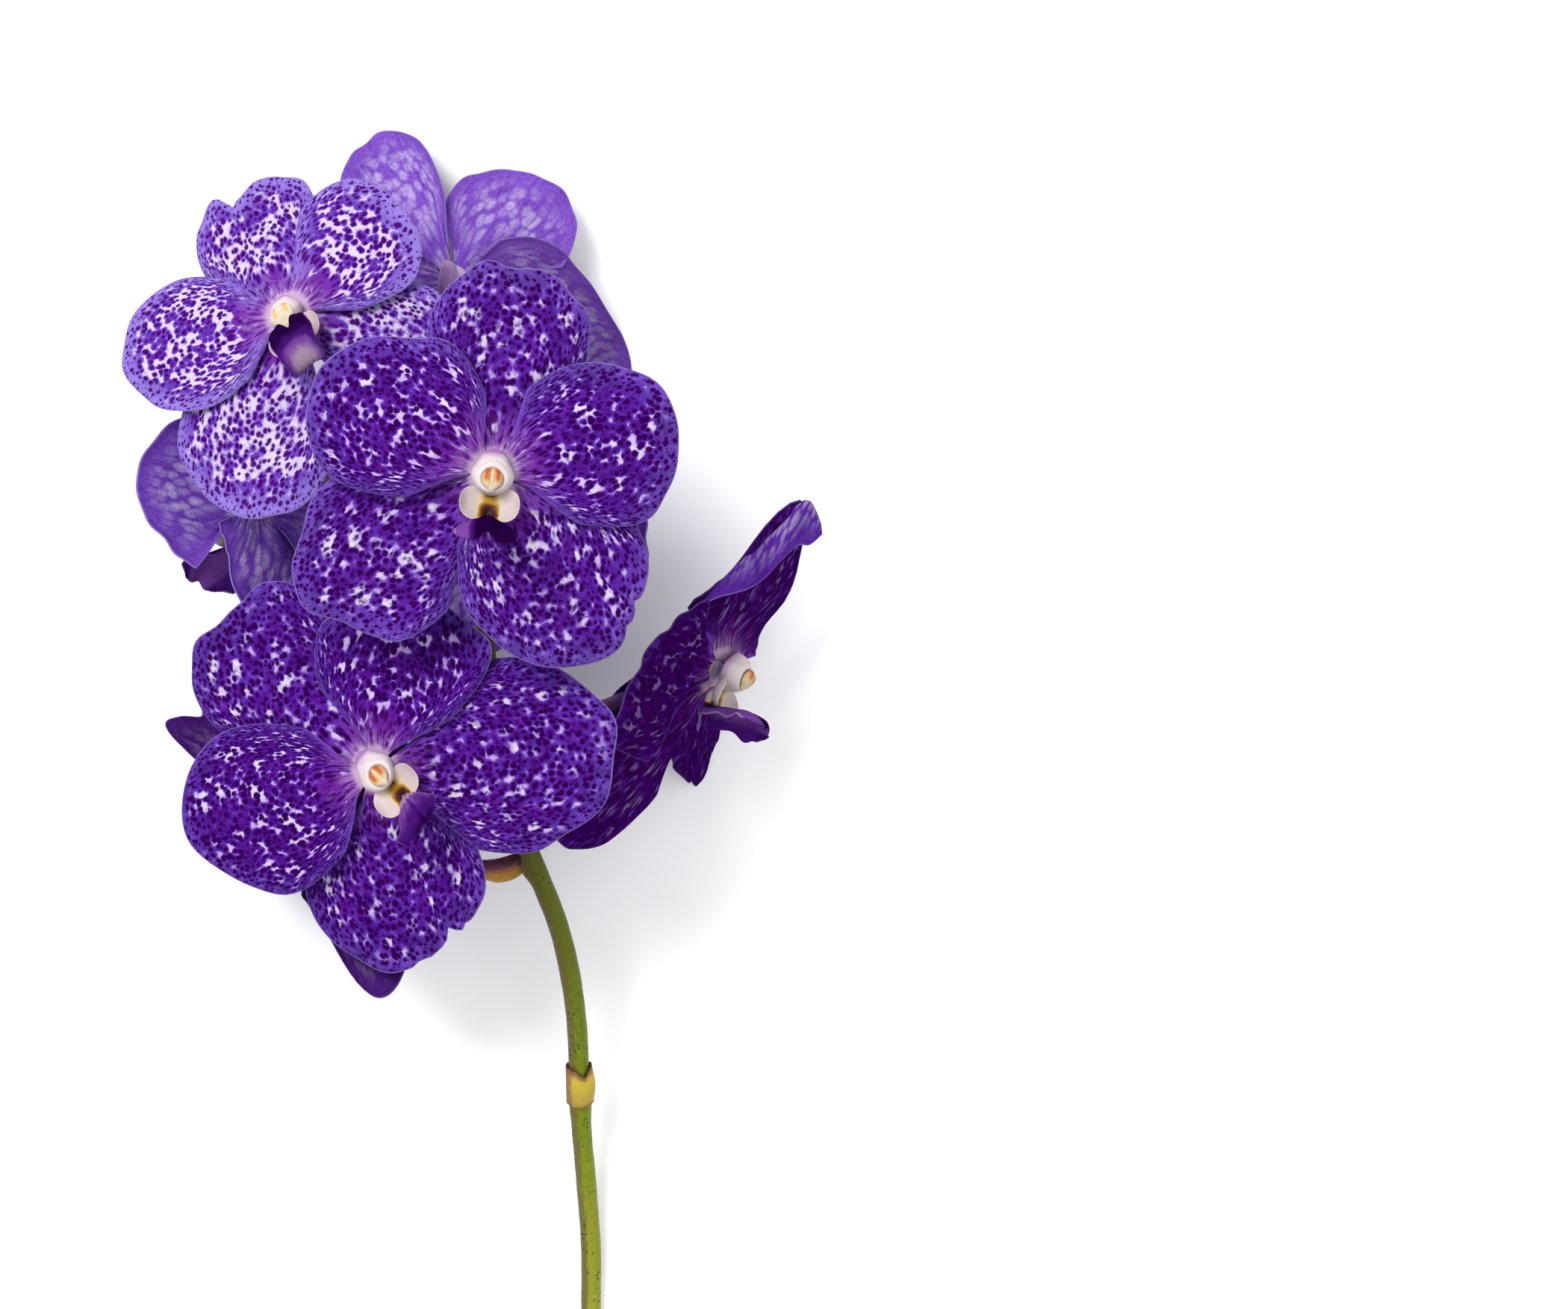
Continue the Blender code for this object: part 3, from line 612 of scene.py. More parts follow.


# Hub in mm, the way the bloom faces, the bearing of its dorsal sepal from above, the way its lip
# and column lean, and the place along the stem where its stalk starts
# A depth value paints shade onto a bloom or tepal that lies in the shadow of the others
blooms = {
    "upper_left": {
        "hub": (-49.1, 143.4, 76.0), "faces": (-0.40, 0.30, 0.87), "dorsal": 119,
        "leans": (-0.14, 0.04, 0.99), "carriedAt": 118, "paleness": 0.9, "lobe": "lifted",
        "columnSize": 0.86, "capSize": 1.22, "capCream": 0.58,
        "tepals": [
            tepal("petal", 195, 45, (20, 33.5, 41.5, 46.5, 49.3, 46.5, 41.5, 33.5, 20), 1.6, 3,
                  narrowing=0.1),
            tepal("petal", 43, 42, (20, 33, 38.3, 40.8, 41.8, 42, 41, 37, 28), 1.6, 2, narrowing=0.1),
            tepal("dorsal", 117, 39, (31, 37.6, 41, 41.8, 38.3, 42, 39.4, 34.5, 27), -1.2, 3,
                  nicks=[(0.10, 0.05, 2.6)], narrowing=-0.2),
            tepal("lateral", 252, 37, (37, 46, 50.5, 53.8, 54.3, 53, 50.6, 45, 34), -1.2, 6,
                  narrowing=-0.35),
            tepal("lateral", -15, 36, (28, 38, 43, 45, 46, 44, 42, 38, 30), -1.4, 7, narrowing=-0.35),
        ],
    },
    "centre": {
        "hub": (7.4, 99.6, 108.0), "faces": (0.0, 0.03, 1.0), "dorsal": 84,
        "leans": (0.06, -0.03, 1.0), "carriedAt": 92, "paleness": 0.2, "lobe": "parted",
        "tepals": [
            tepal("petal", 145, 50, (21, 36, 41.5, 48, 53, 52.6, 49, 41.5, 24), 1.6, 2),
            tepal("petal", 18.5, 49, (26, 41, 46.5, 49, 50.5, 49, 42, 34.5, 24), 1.6, 2),
            tepal("dorsal", 84, 34, (38, 48, 52, 56, 54.6, 56.6, 52.5, 47, 38), -1.2, 4),
            tepal("lateral", 293, 50, (19, 33.5, 42.3, 50.4, 55.2, 56.2, 51.6, 47, 38), -1.2, 5,
                  nicks=[(0.36, 0.03, 1.2), (0.50, 0.03, 1.4)]),
            tepal("lateral", 214, 37, (38, 48, 52.5, 58.5, 61.7, 56, 53.3, 49.5, 38), -3.6, 6),
        ],
    },
    "lower_left": {
        "hub": (-25.9, 21.1, 74.0), "faces": (-0.385, -0.10, 0.917), "dorsal": 139,
        "leans": (0.05, -0.07, 0.99), "carriedAt": 22, "paleness": 0.12, "lobe": "curled",
        "tepals": [
            tepal("petal", 79, 46, (25, 44, 46.3, 46.8, 46.8, 46, 44, 40, 27), 1.6, 3),
            tepal("petal", 200, 49, (22, 39.5, 50.5, 56.5, 57.4, 52.8, 47.2, 40, 24), 1.6, 3),
            tepal("dorsal", 140, 33, (42, 53.5, 60, 60, 60.7, 62.5, 59.5, 52, 39), -1.2, 4),
            tepal("lateral", 2, 42, (34, 46, 53, 60, 61.5, 62.5, 57, 52, 42), -1.2, 7),
            tepal("lateral", 278, 44, (40, 48.5, 53, 56.5, 54.6, 50, 46.5, 41.5, 31), -3.6, 6,
                  nicks=[(0.02, 0.03, 1.3), (0.28, 0.04, 3.2), (0.42, 0.03, 1.0)]),
        ],
    },
    "right": {
        "hub": (65.7, 47.9, 42.0), "faces": (0.855, -0.352, 0.382), "dorsal": 60,
        "leans": (0.90, -0.16, 0.40), "setOut": 0.9, "carriedAt": 27,
        # depth: painted shade, as this bloom lies in shadow
        "stalkBy": [(24, 34, 38), (41, 41, 26)], "paleness": 0.0, "depth": 0.9, "streaky": 1.7,
        "tepals": [
            tepal("petal", 165, 67, (19.8, 18.4, 17.6, 17.4, 19.3, 21.2, 26.4, 34, 31.5), 1.2, 0,
                  faces=(0.83, -0.39, 0.40)),
            tepal("lateral", 228, 19, (41, 51, 58, 62, 63, 63, 59, 50, 39), -1.2, 0,
                  faces=(0.75, -0.50, 0.43)),
            tepal("dorsal", 61, 50, (12, 14, 19.5, 36, 51, 29, 21.5, 18.5, 16), -2.2, 0,
                  faces=(0.62, -0.55, 0.56)),
            tepal("lateral", 260, 17, (22, 27, 30, 32.3, 33.6, 34.2, 26.5, 22, 17), -2.4, 0,
                  faces=(0.90, -0.50, 0.33)),
            tepal("petal", 200, 35, (19, 20, 22, 28, 34, 38, 40, 40, 36), 1.2, 0,
                  faces=(0.42, 0.18, -0.89)),
        ],
    },
    "top": {
        "hub": (-7.6, 155.6, 27.0), "faces": (0.05, -0.20, -0.98), "dorsal": 116,
        "leans": (-0.12, -0.24, -0.96), "carriedAt": 128, "paleness": 0.5,
        "tepals": [
            tepal("petal", 56, 45, (30, 35, 39, 41, 39.5, 37.5, 34, 30, 21), 1.6, -13),
            # depth on a tepal: painted shade where it lies in shadow
            tepal("petal", 177, 42, scaled(petalEdge, 38), 1.6, -10, depth=0.3),
            tepal("dorsal", 121, 24, (25, 41, 48, 51.5, 51, 50, 48, 44, 36), -1.2, -16),
            tepal("lateral", -5, 46, (35, 46, 50, 48.5, 42, 36, 31.5, 26, 17), -1.2, -38, tilt=0.75,
                  depth=0.45),
            tepal("lateral", 244, 40, scaled(sepalEdge, 42), -1.4, -14),
        ],
    },
    "left": {
        "hub": (-61.5, 92.5, 42.0), "faces": (-0.62, -0.38, -0.68), "dorsal": 80,
        "carriedAt": 101, "paleness": 0.3,
        "tepals": [
            tepal("petal", 170, 62, (27, 31, 31.5, 31.5, 30, 27, 24, 22.5, 21.5), 1.6, 0),
            tepal("petal", 15, 40, scaled(petalEdge, 33), 1.6, 0),
            tepal("dorsal", 80, 34, scaled(sepalEdge, 34), -1.2, 0),
            tepal("lateral", 265, 58, (10, 11.5, 13, 16.5, 24, 31, 33, 32, 26), -1.2, -8),
            tepal("lateral", 336, 30, scaled(sepalEdge, 28), -2.6, -2),
        ],
    },
    "lower": {
        "hub": (-49.3, 6.9, 27.0), "faces": (0.30, -0.25, -0.92), "dorsal": 55,
        # depth: painted shade, as this bloom lies in shadow under the others
        "carriedAt": -3, "paleness": 0.1, "depth": 0.9,
        "tepals": [
            tepal("petal", 138, 20, (38, 48, 56, 56, 46, 52, 54, 40, 28), 1.6, -16),
            tepal("petal", 0, 42, scaled(petalEdge, 42), 1.6, 0),
            tepal("dorsal", 56, 34, scaled(sepalEdge, 42), -1.2, 2),
            tepal("lateral", 298, 26, (22, 26, 33, 50, 56, 53, 50, 44, 34), -1.2, 2),
            tepal("lateral", 205, 40, scaled(sepalEdge, 24), -1.2, 0),
        ],
    },
    "right_rear": {
        "hub": (18.5, 80.7, 30.0), "faces": (0.45, -0.05, -0.89), "dorsal": 72,
        "carriedAt": 76, "paleness": 0.2,
        "tepals": [
            tepal("petal", 4, 40, (22, 25, 27.5, 28, 27.5, 28.5, 28.5, 26, 22), 1.6, 0),
            tepal("petal", 142, 42, scaled(petalEdge, 36), 1.6, -3),
            tepal("dorsal", 73, 34, scaled(sepalEdge, 34), -1.2, 2),
            tepal("lateral", 288, 36, scaled(sepalEdge, 28), -1.2, 2),
            tepal("lateral", 213, 40, scaled(sepalEdge, 38), -2.6, -3),
        ],
    },
}


def bloomAxes(bloom):
    facing = unit(bloom["faces"])
    turn = math.radians(bloom["dorsal"])
    slope = -(facing[0] * math.cos(turn) + facing[1] * math.sin(turn)) / facing[2]
    dorsal = unit((math.cos(turn), math.sin(turn), slope))
    return np.cross(dorsal, facing), dorsal, facing


def localPoints(bloom, points):  # to the flower's right, towards its dorsal sepal, and forward
    right, dorsal, facing = bloomAxes(bloom)
    forward = unit(bloom.get("leans", facing))
    points = np.asarray(points, float)
    return (
        np.array(bloom["hub"])
        + points[..., 0:1] * right
        + points[..., 1:2] * dorsal
        + (points[..., 2:3] + bloom.get("setOut", 0.0)) * forward
    )


def tepalSurface(bloom, shape, seed):
    form = tepalForm
    facing = unit(shape.get("faces", bloom["faces"]))
    alongX = np.array((1.0, 0.0, -facing[0] / facing[2]))
    alongY = np.array((0.0, 1.0, -facing[1] / facing[2]))
    out, across = bladeGrid(form["rows"], form["halfColumns"])
    edge = through(np.linspace(-1, 1, len(shape["edge"])), shape["edge"], across)
    edge = edge + form["jitter"] * ripple(across, seed, form["jitterWaves"]) * (1 - across**8)
    for at, wide, deep in shape.get("nicks", ()):
        edge = edge - deep * hill(across - at, wide)
    middle = math.radians(shape["bearing"])
    stretch = math.hypot(1, alongX[2] * math.cos(middle) + alongY[2] * math.sin(middle))
    claw = form["clawRadius"] / stretch
    radius = claw + (edge - claw) * out
    share = radius / max(shape["edge"])
    narrowing = shape.get("narrowing", form["narrowing"][shape["kind"]])
    spread = 1 - narrowing * (1 - out) ** 2
    bearing = np.radians(shape["bearing"] + shape["half"] * across * spread)
    height = shape["layer"] * smoothStep((radius * stretch - 4) / 8)
    height = height - shape["back"] * share**2 * (1 - shape.get("tilt", 0.0) * across)
    # Relief: a groove along the middle, ribs, waves and a rolled rim
    inner = smoothStep((share - 0.1) / 0.15)
    height = height - form["groove"] * hill(across, form["grooveWidth"]) * inner * (1 - share)
    ribs = np.cos(across * form["ribWaves"]) * np.sqrt(np.maximum(1 - share, 0))
    height = height + form["ribs"] * ribs * inner
    ruffle = ripple(across + 0.25 * share, seed + 2.0, form["ruffleWaves"])
    height = height + form["ruffle"] * ruffle * share**3
    swell = ripple(share * 2.0 + across, seed + 5.0, form["swellWaves"])
    height = height + form["swell"] * swell * inner
    edgeRim, sideRim = (smoothStep((at - 1) / form["rimShare"] + 1) for at in (out, np.abs(across)))
    rim = np.maximum(edgeRim, sideRim * inner)
    height = height - form["roll"] * rim**2
    points = (
        np.array(bloom["hub"])
        + (radius * np.cos(bearing))[..., None] * alongX
        + (radius * np.sin(bearing))[..., None] * alongY
        + height[..., None] * facing
    )
    points[..., 2] = np.maximum(points[..., 2], restHeight)
    return points, rim


def running(points, axis):  # the way along the surface up to each point
    steps = np.linalg.norm(np.diff(points, axis=axis), axis=2)
    return np.pad(np.cumsum(steps, axis=axis), [(int(axis == k), 0) for k in range(2)])


def petalPlaces(points, seed, streaky):
    # Millimetres across and along the real surface, and the distance to its edge
    sideways = running(points, 1)
    sideways = sideways - sideways[:, points.shape[1] // 2][:, None]
    length = running(points, 0)
    toSide = np.minimum(sideways[:, -1][:, None] - sideways, sideways - sideways[:, 0][:, None])
    toTip = length[-1][None, :] - length
    fromEdge = np.minimum(toTip, toSide + 30 * (1 - smoothStep((length - 2) / 6)))
    near, narrower, shorter = 15.0, 0.75, 0.55  # mm from the hub where the spots draw together
    spotAcross = sideways * (near / np.minimum(length + 2.0, near)) ** narrower
    spotAlong = np.where(length > near, length, near - shorter * (near - length)) / streaky
    shift = np.array((71, 113, 0)) * seed  # every tepal has its own part of the pattern
    flat = np.zeros(length.shape)
    place = np.stack((sideways, length, flat), axis=2) + shift
    spotPlace = np.stack((spotAcross, spotAlong, flat), axis=2) + shift
    return place, spotPlace, length, fromEdge


def addTepal(bag, bloom, shape, seed):
    points, rim = tepalSurface(bloom, shape, seed)
    place, spotPlace, length, fromEdge = petalPlaces(points, seed, bloom.get("streaky", 1.0))
    # the depth value carries painted shade into the tepal material
    bag.addBlade(
        points, bladeThickness(tepalForm, rim), shape.get("faces", bloom["faces"])[2] <= 0,
        petalPlace=place, spotPlace=spotPlace, fromClaw=length, fromEdge=fromEdge,
        paleness=bloom["paleness"], depth=shape.get("depth", bloom.get("depth", 0.0)),
        sepal=float(shape["kind"] != "petal"),
    )


foldForm = {  # the turned-over margin of the right bloom's dorsal sepal
    "bloom": "right",
    "tepal": 2,
    "outer": [  # mm on the picture's plane
        (60, 64), (66, 70.5), (72, 76.5), (78, 82.6), (84, 88.8), (88.3, 92.6), (91, 93), (93.4, 88),
        (94, 84.5),
    ],
    "inner": [
        (60, 64), (66, 67.2), (70, 68.3), (75, 70), (79.2, 73), (83, 77.2), (87.4, 81.2), (90.6, 81.4),
        (93.8, 83.8),
    ],
    "lift": 2.0,
    "overSepal": (-0.6, 0.5),  # mm from its outer to its inner line
    "thickness": 0.6,
    "steps": 70,
    "stepsAcross": 22,
    "seed": 91.0,
    "fromClaw": 25.0,
    # painted shade, lighter than on the rest of its bloom
    "depth": 0.15,
}


def addFold(bag, bloom):
    form = foldForm
    shape = bloom["tepals"][form["tepal"]]
    u = np.linspace(0, 1, form["steps"])
    knots = np.linspace(0, 1, len(form["outer"]))
    outer, inner = throughAll(knots, form["outer"], u), throughAll(knots, form["inner"], u)
    v = spaced(form["stepsAcross"])[None, :]
    flat = outer[:, None, :] * (1 - v[..., None]) + inner[:, None, :] * v[..., None]
    facing, hub, aim = unit(shape["faces"]), np.array(bloom["hub"]), np.array(view["aim"])
    cameraHeight = view["distance"] + aim[2]
    turned = np.sin(np.minimum(v * 1.25, 1) * math.pi * 0.62)
    roll = form["lift"] * turned * np.sin(math.pi * u)[:, None] ** 0.5
    low, high = form["overSepal"]
    rise = shape["layer"] + low + (high - low) * v + roll
    z = np.full(flat.shape[:2], hub[2])
    for _ in range(6):  # the lines of sight meet the sepal's plane more closely each time
        true = aim[:2] + (flat - aim[:2]) * ((cameraHeight - z) / view["distance"])[..., None]
        z = hub[2] + (rise - (true - hub[:2]) @ facing[:2]) / facing[2]
    points = np.concatenate((true, z[..., None]), axis=2)
    place = petalPlaces(points.transpose(1, 0, 2)[::-1], form["seed"], 1.0)[0]
    place = place.transpose(1, 0, 2)[:, ::-1]
    margin = (1 - v) * np.linalg.norm(points[:, -1] - points[:, 0], axis=1)[:, None]
    middle = gridNormals(points)[form["steps"] // 2, form["stepsAcross"] // 2]
    bag.addBlade(
        points, np.full(z.shape, form["thickness"]), middle @ facing >= 0,
        petalPlace=place, spotPlace=place, fromClaw=form["fromClaw"], fromEdge=margin,
        paleness=0.0, depth=form["depth"], sepal=1.0,
    )


stalkForm = {  # mm
    "radius": 1.7,
    "flare": 0.25,
    "ridges": 3,
    "ridgeDepth": 0.06,
    "sides": 18,
    "rings": 44,
    "leaves": 5.0,  # straight out from the stem
    "arrives": (13, 7),  # straight behind the hub
    "hubRadii": (4.2, 4.2, 2.2),
    "hubSink": 1.0,
    "hubSides": 28,
    "hubBands": 12,
    "roughness": 0.5,
    "tones": ((0.0, 84, 44, 40), (0.12, 120, 66, 90), (0.5, 150, 104, 170), (1.0, 206, 178, 222)),
}


def stalkPath(bloom, count):
    form = stalkForm
    facing = unit(bloom["faces"])
    root, ahead = stemPoint(bloom["carriedAt"])
    end = np.array(bloom["hub"]) - form["hubSink"] * facing
    onward = [np.array(point, float) for point in bloom.get("stalkBy", [])]
    onward += [end - back * facing for back in form["arrives"]]
    out = onward[0] - root
    out = unit(out - np.dot(out, ahead) * ahead)
    start = root + out * (float(stemRadii(bloom["carriedAt"])) + seatGap)
    return evenly([start, start + form["leaves"] * out, *onward, end], count)


def addStalk(bag, bloom):
    form = stalkForm
    along = np.linspace(0, 1, form["rings"])
    radii = form["radius"] * (1 + form["flare"] * along)
    path = stalkPath(bloom, form["rings"])
    rings = tubeRings(path, radii, form["sides"], form["ridges"], form["ridgeDepth"])
    bag.addRings(rings, along[:, None], 1)
    axes = bloomAxes(bloom)
    centre = np.array(bloom["hub"]) - form["hubSink"] * axes[2]
    hub = ellipsoidRings(centre, form["hubRadii"], form["hubSides"], form["hubBands"], axes)
    bag.addRings(hub, 1.0, 1)


columnForm = {
    # Height, half width, half length and centre towards the dorsal sepal, in mm
    "profile": (
        (1.6, 2.6, 2.8, 0.6), (2.1, 4.6, 5.0, 0.7), (2.9, 5.9, 6.4, 0.6), (4.0, 5.9, 6.2, 0.3),
        (5.4, 5.6, 5.5, -0.1), (6.8, 5.0, 4.8, -0.6), (7.8, 4.4, 4.3, -0.9), (8.3, 3.9, 3.9, -1.1),
        (8.5, 3.5, 3.5, -1.2), (8.4, 3.1, 3.1, -1.3), (8.0, 2.6, 2.6, -1.3), (7.9, 0.6, 0.6, -1.3),
    ),
    "sides": 48,
    "steps": 54,
    "neckRise": 0.5,  # mm, towards the dorsal sepal
    "neckNarrowing": 0.24,
    "collarReach": 0.8,
    "collarDip": 0.45,
    "roughness": 0.42,
    "tones": ((0.0, 184, 132, 202), (0.35, 222, 190, 220), (1.0, 242, 228, 230)),
}


def addColumn(name, bloom, material):
    form = columnForm
    height, wide, tall, centre = evenly(form["profile"], form["steps"], 2).T[..., None]
    angles = turnsRound(form["sides"])
    x = wide * np.cos(angles)
    y = centre + tall * np.sin(angles)
    z = height + 0 * angles
    z = z + form["neckRise"] * hill(y - 5.0, 2.4) * (z < 6.5)
    low = smoothStep(1.4 - z / 5.5)
    x = x * (1 - form["neckNarrowing"] * smoothStep((y + 1.0) / 5))
    y = y + form["collarReach"] * smoothStep((y - 1.0) / 4.5) * low
    y = y - 0.16 * np.maximum(y - 1.0, 0)
    z = z * (1 - form["collarDip"] * smoothStep((y - 4.0) / 3.4))
    size = bloom.get("columnSize", 1.0)
    x, y = x * size, y * size
    shade = smoothStep((z - 1.6) / 5.0) - 0.75 * smoothStep((y - 2.4) / 6.0)  # paler on top
    bag = MeshBag()
    bag.addRings(np.stack((x, y, z), axis=2), np.clip(shade, 0, 1), bloom=bloom)
    bag.build(name + "_column", [material])


capForm = {  # mm
    "centre": (0.0, -1.4, 9.1),
    "radii": (2.75, 2.75, 1.65),
    "sides": 40,
    "bands": 26,
    "groove": 0.6,
    "lobes": 0.25,
    "beak": 0.9,
    "lowest": 8.05,
    "roughness": 0.38,
    "tones": ((0.0, 196, 92, 44), (0.4, 226, 146, 92), (0.7, 238, 196, 128), (1.0, 240, 226, 196)),
}


def addAntherCap(name, bloom, material):
    form = capForm
    rings = ellipsoidRings(form["centre"], form["radii"], form["sides"], form["bands"])
    aside, toDorsal, above = np.moveaxis((rings - form["centre"]) / form["radii"], 2, 0)
    above = np.clip(above, 0, 1)
    # Two lobes divided by a groove, and a small beak towards the lip
    rings[..., 2] -= form["groove"] * hill(np.abs(aside) - 0.16, 0.09) * above
    rings[..., 2] += form["lobes"] * hill(np.abs(aside) - 0.5, 0.25) * above
    rings[..., 1] -= form["beak"] * hill(aside, 0.35) * np.clip(-toDorsal, 0, 1) ** 3
    rings[..., 2] = np.maximum(rings[..., 2], form["lowest"])
    orange = hill(np.abs(aside) - 0.52, 0.32) * smoothStep((toDorsal + 0.5) / 0.6)
    shade = 0.9 - 0.85 * orange - 0.3 * smoothStep((toDorsal - 0.5) / 0.4) + 0.3 * hill(aside, 0.13)
    centre = np.array(form["centre"][:2])
    rings[..., :2] = (rings[..., :2] - centre) * bloom.get("capSize", 1.0) + centre
    bag = MeshBag()
    bag.addRings(rings, np.clip(shade + bloom.get("capCream", 0.0), 0, 1), bloom=bloom)
    bag.build(name + "_anther_cap", [material])


lipBaseForm = {  # mm in the flower's own directions
    "earCentre": (5.6, -8.4, 5.0),
    "earRadii": (3.9, 4.6),
    "earLooks": (-0.42, 0.22, 0.88),
    "earThickness": 1.0,
    "earRim": 0.22,
    "earCup": 1.5,
    "earWave": 0.25,
    "earLean": 0.24,  # how much shorter it is on its outer side
    "spokes": 56,
    "rings": 15,
    "throatCentre": (0.0, -9.2, 3.0),
    "throatRadii": (4.2, 3.2, 2.2),
    "throatDent": 1.4,
    "throatSides": 40,
    "throatBands": 24,
    "roughness": 0.4,
    "tones": (
        (0.0, 226, 208, 208), (0.24, 232, 216, 180), (0.48, 186, 140, 30), (0.7, 112, 44, 22),
        (1.0, 50, 8, 20),
    ),
}


def throatShade(local):  # cream at the sides, yellow under the column, dark towards the tongue
    x, y = local[..., 0], local[..., 1]
    down = smoothStep((-7.4 - y) / 2.6)
    middle = smoothStep(1 - (np.abs(x) - 0.9) / (3.9 - 0.9 * down))
    streaks = np.clip(np.sin(9.0 * x + 1.2 * y), 0, 1) ** 2
    reach = smoothStep(1 - np.abs(np.abs(x) - 2.6) / 2.0) * smoothStep((-9.6 - y) / 1.5)
    return np.clip(middle * (0.46 + 0.54 * down) + 0.35 * streaks * reach, 0, 1)


def addEar(bag, bloom, side):
    form = lipBaseForm
    mirror = np.array((side, 1, 1))
    looks = unit(form["earLooks"] * mirror)
    tall = unit(np.array((0.0, 1.0, 0.0)) - looks[1] * looks)
    wide = np.cross(tall, looks)
    spokes, rings = form["spokes"], form["rings"]
    out = spaced(rings)[:, None]
    turn = turnsRound(spokes)[None, :]
    lean = 1 + 0.05 * np.cos(2 * turn) - form["earLean"] * side * np.cos(turn)
    u = out * form["earRadii"][0] * lean * np.cos(turn)
    v = out * form["earRadii"][1] * lean * np.sin(turn)
    cup = form["earCup"] * out**2 + form["earWave"] * np.sin(3 * turn + side) * out**3 - 0.4
    thick = form["earThickness"] * np.sqrt(np.clip(1 - out**2, 0, 1)) + form["earRim"]
    middle = form["earCentre"] * mirror + u[..., None] * wide + v[..., None] * tall
    front, back = (middle + (cup + face * thick / 2)[..., None] * looks for face in (1, -1))
    points = np.stack((front, back))
    shade = np.stack((throatShade(front), 0.4 * throatShade(back)))
    under = spokes * rings
    faces = gridFaces(rings, spokes, around=True)
    faces += gridFaces(rings, spokes, under, flipped=True, around=True)
    last = under - spokes
    for i in range(spokes):
        j = (i + 1) % spokes
        faces.append((last + i, last + i + under, last + j + under, last + j))
    bag.add(localPoints(bloom, points), faces, localPlace=points, shade=shade)


def addLipBase(name, bloom, material):
    form = lipBaseForm
    bag = MeshBag()
    for side in (-1, 1):
        addEar(bag, bloom, side)
    centre, radii = form["throatCentre"], form["throatRadii"]
    rings = ellipsoidRings(centre, radii, form["throatSides"], form["throatBands"])
    aside, toDorsal, above = np.moveaxis((rings - centre) / radii, 2, 0)
    rings[..., 2] -= form["throatDent"] * hill(aside, 0.55) * hill(toDorsal + 0.1, 0.75) * (above > 0)
    bag.addRings(rings, throatShade(rings), bloom=bloom)
    bag.build(name + "_lip_base", [material])


lobeSkin = {
    "roughness": 0.36,
    "specular": 0.0,
    "tones": ((0.0, 34, 2, 56), (0.3, 70, 22, 116), (0.55, 122, 70, 160), (1.0, 178, 148, 176)),
}
archedLobe = {
    # Share of the length, then place towards the dorsal sepal and forward, half width and depth
    "path": (
        (0.0, -12.6, 2.8, 3.6, 3.0), (0.35, -12.0, 9.9, 5.6, 4.6), (0.75, -12.6, 18.0, 7.6, 5.0),
        (0.92, -14.2, 21.4, 6.6, 3.6), (1.0, -15.8, 23.0, 4.6, 2.2),
    ),
    "rows": 40,
    "halfColumns": 26,
    "thickness": 0.85,
    "rimThickness": 0.40,
    "bend": 82,  # degrees from its middle to its side
    "frill": 0.55,  # mm
    "frillWaves": (15, 9.5),  # along the sides and across the tip
    "keel": 0.4,
    "corner": 1.6,
    "lean": 0.0,
    "notch": 1.2,
    "tint": 0.02,
    "lit": 0.5,  # how much painted light falls on its left side
    "keelLight": 0.35,
    "rimLight": 0.4,
    "baseLight": 0.0,
    "teeth": 26,
    "pale": (2.0, 1.0, 0.0),  # shares of the length between which a pale face comes in, and how pale
}
partedLobe = {  # its tip turned down in two round flaps
    **archedLobe,
    "path": (
        (0.0, -12.4, 2.8, 3.6, 3.0), (0.35, -12.0, 9.9, 5.4, 4.0), (0.68, -12.4, 17.0, 7.0, 4.8),
        (0.86, -14.4, 21.0, 7.6, 4.4), (1.0, -17.6, 22.6, 7.4, 3.6),
    ),
    "bend": 72, "frill": 0.6, "corner": 2.0, "notch": 2.4, "tint": 0.04, "lit": 0.55,
}
curledLobe = {  # seen from above
    **archedLobe,
    "path": (
        (0.0, -11.0, 3.4, 3.4, 2.4), (0.3, -12.4, 9.4, 5.8, 3.6), (0.65, -15.4, 13.8, 8.2, 3.6),
        (0.88, -18.0, 14.8, 8.4, 3.0), (1.0, -19.8, 14.4, 7.4, 2.2),
    ),
    "bend": 64, "frill": 0.4, "corner": 1.4, "lean": -1.8, "notch": 0.8,
    "tint": 0.42, "lit": 0.1, "baseLight": 0.9,
}
liftedLobe = {  # lifted in front of the throat, its underside in view
    **archedLobe,
    "path": (
        (0.0, -14.6, 3.0, 3.4, 1.6), (0.22, -18.9, 7.6, 5.4, 1.6), (0.5, -14.2, 12.2, 5.8, 2.0),
        (0.8, -8.2, 14.0, 5.9, 2.0), (1.0, -4.3, 13.6, 5.4, 1.2),
    ),
    "bend": 66, "frill": 0.8, "corner": 2.2, "lean": 0.4, "notch": 2.6,
    "tint": 0.0, "lit": 0.4, "pale": (0.86, 0.36, 1.0),
}
lobeKinds = {"arched": archedLobe, "parted": partedLobe, "curled": curledLobe, "lifted": liftedLobe}


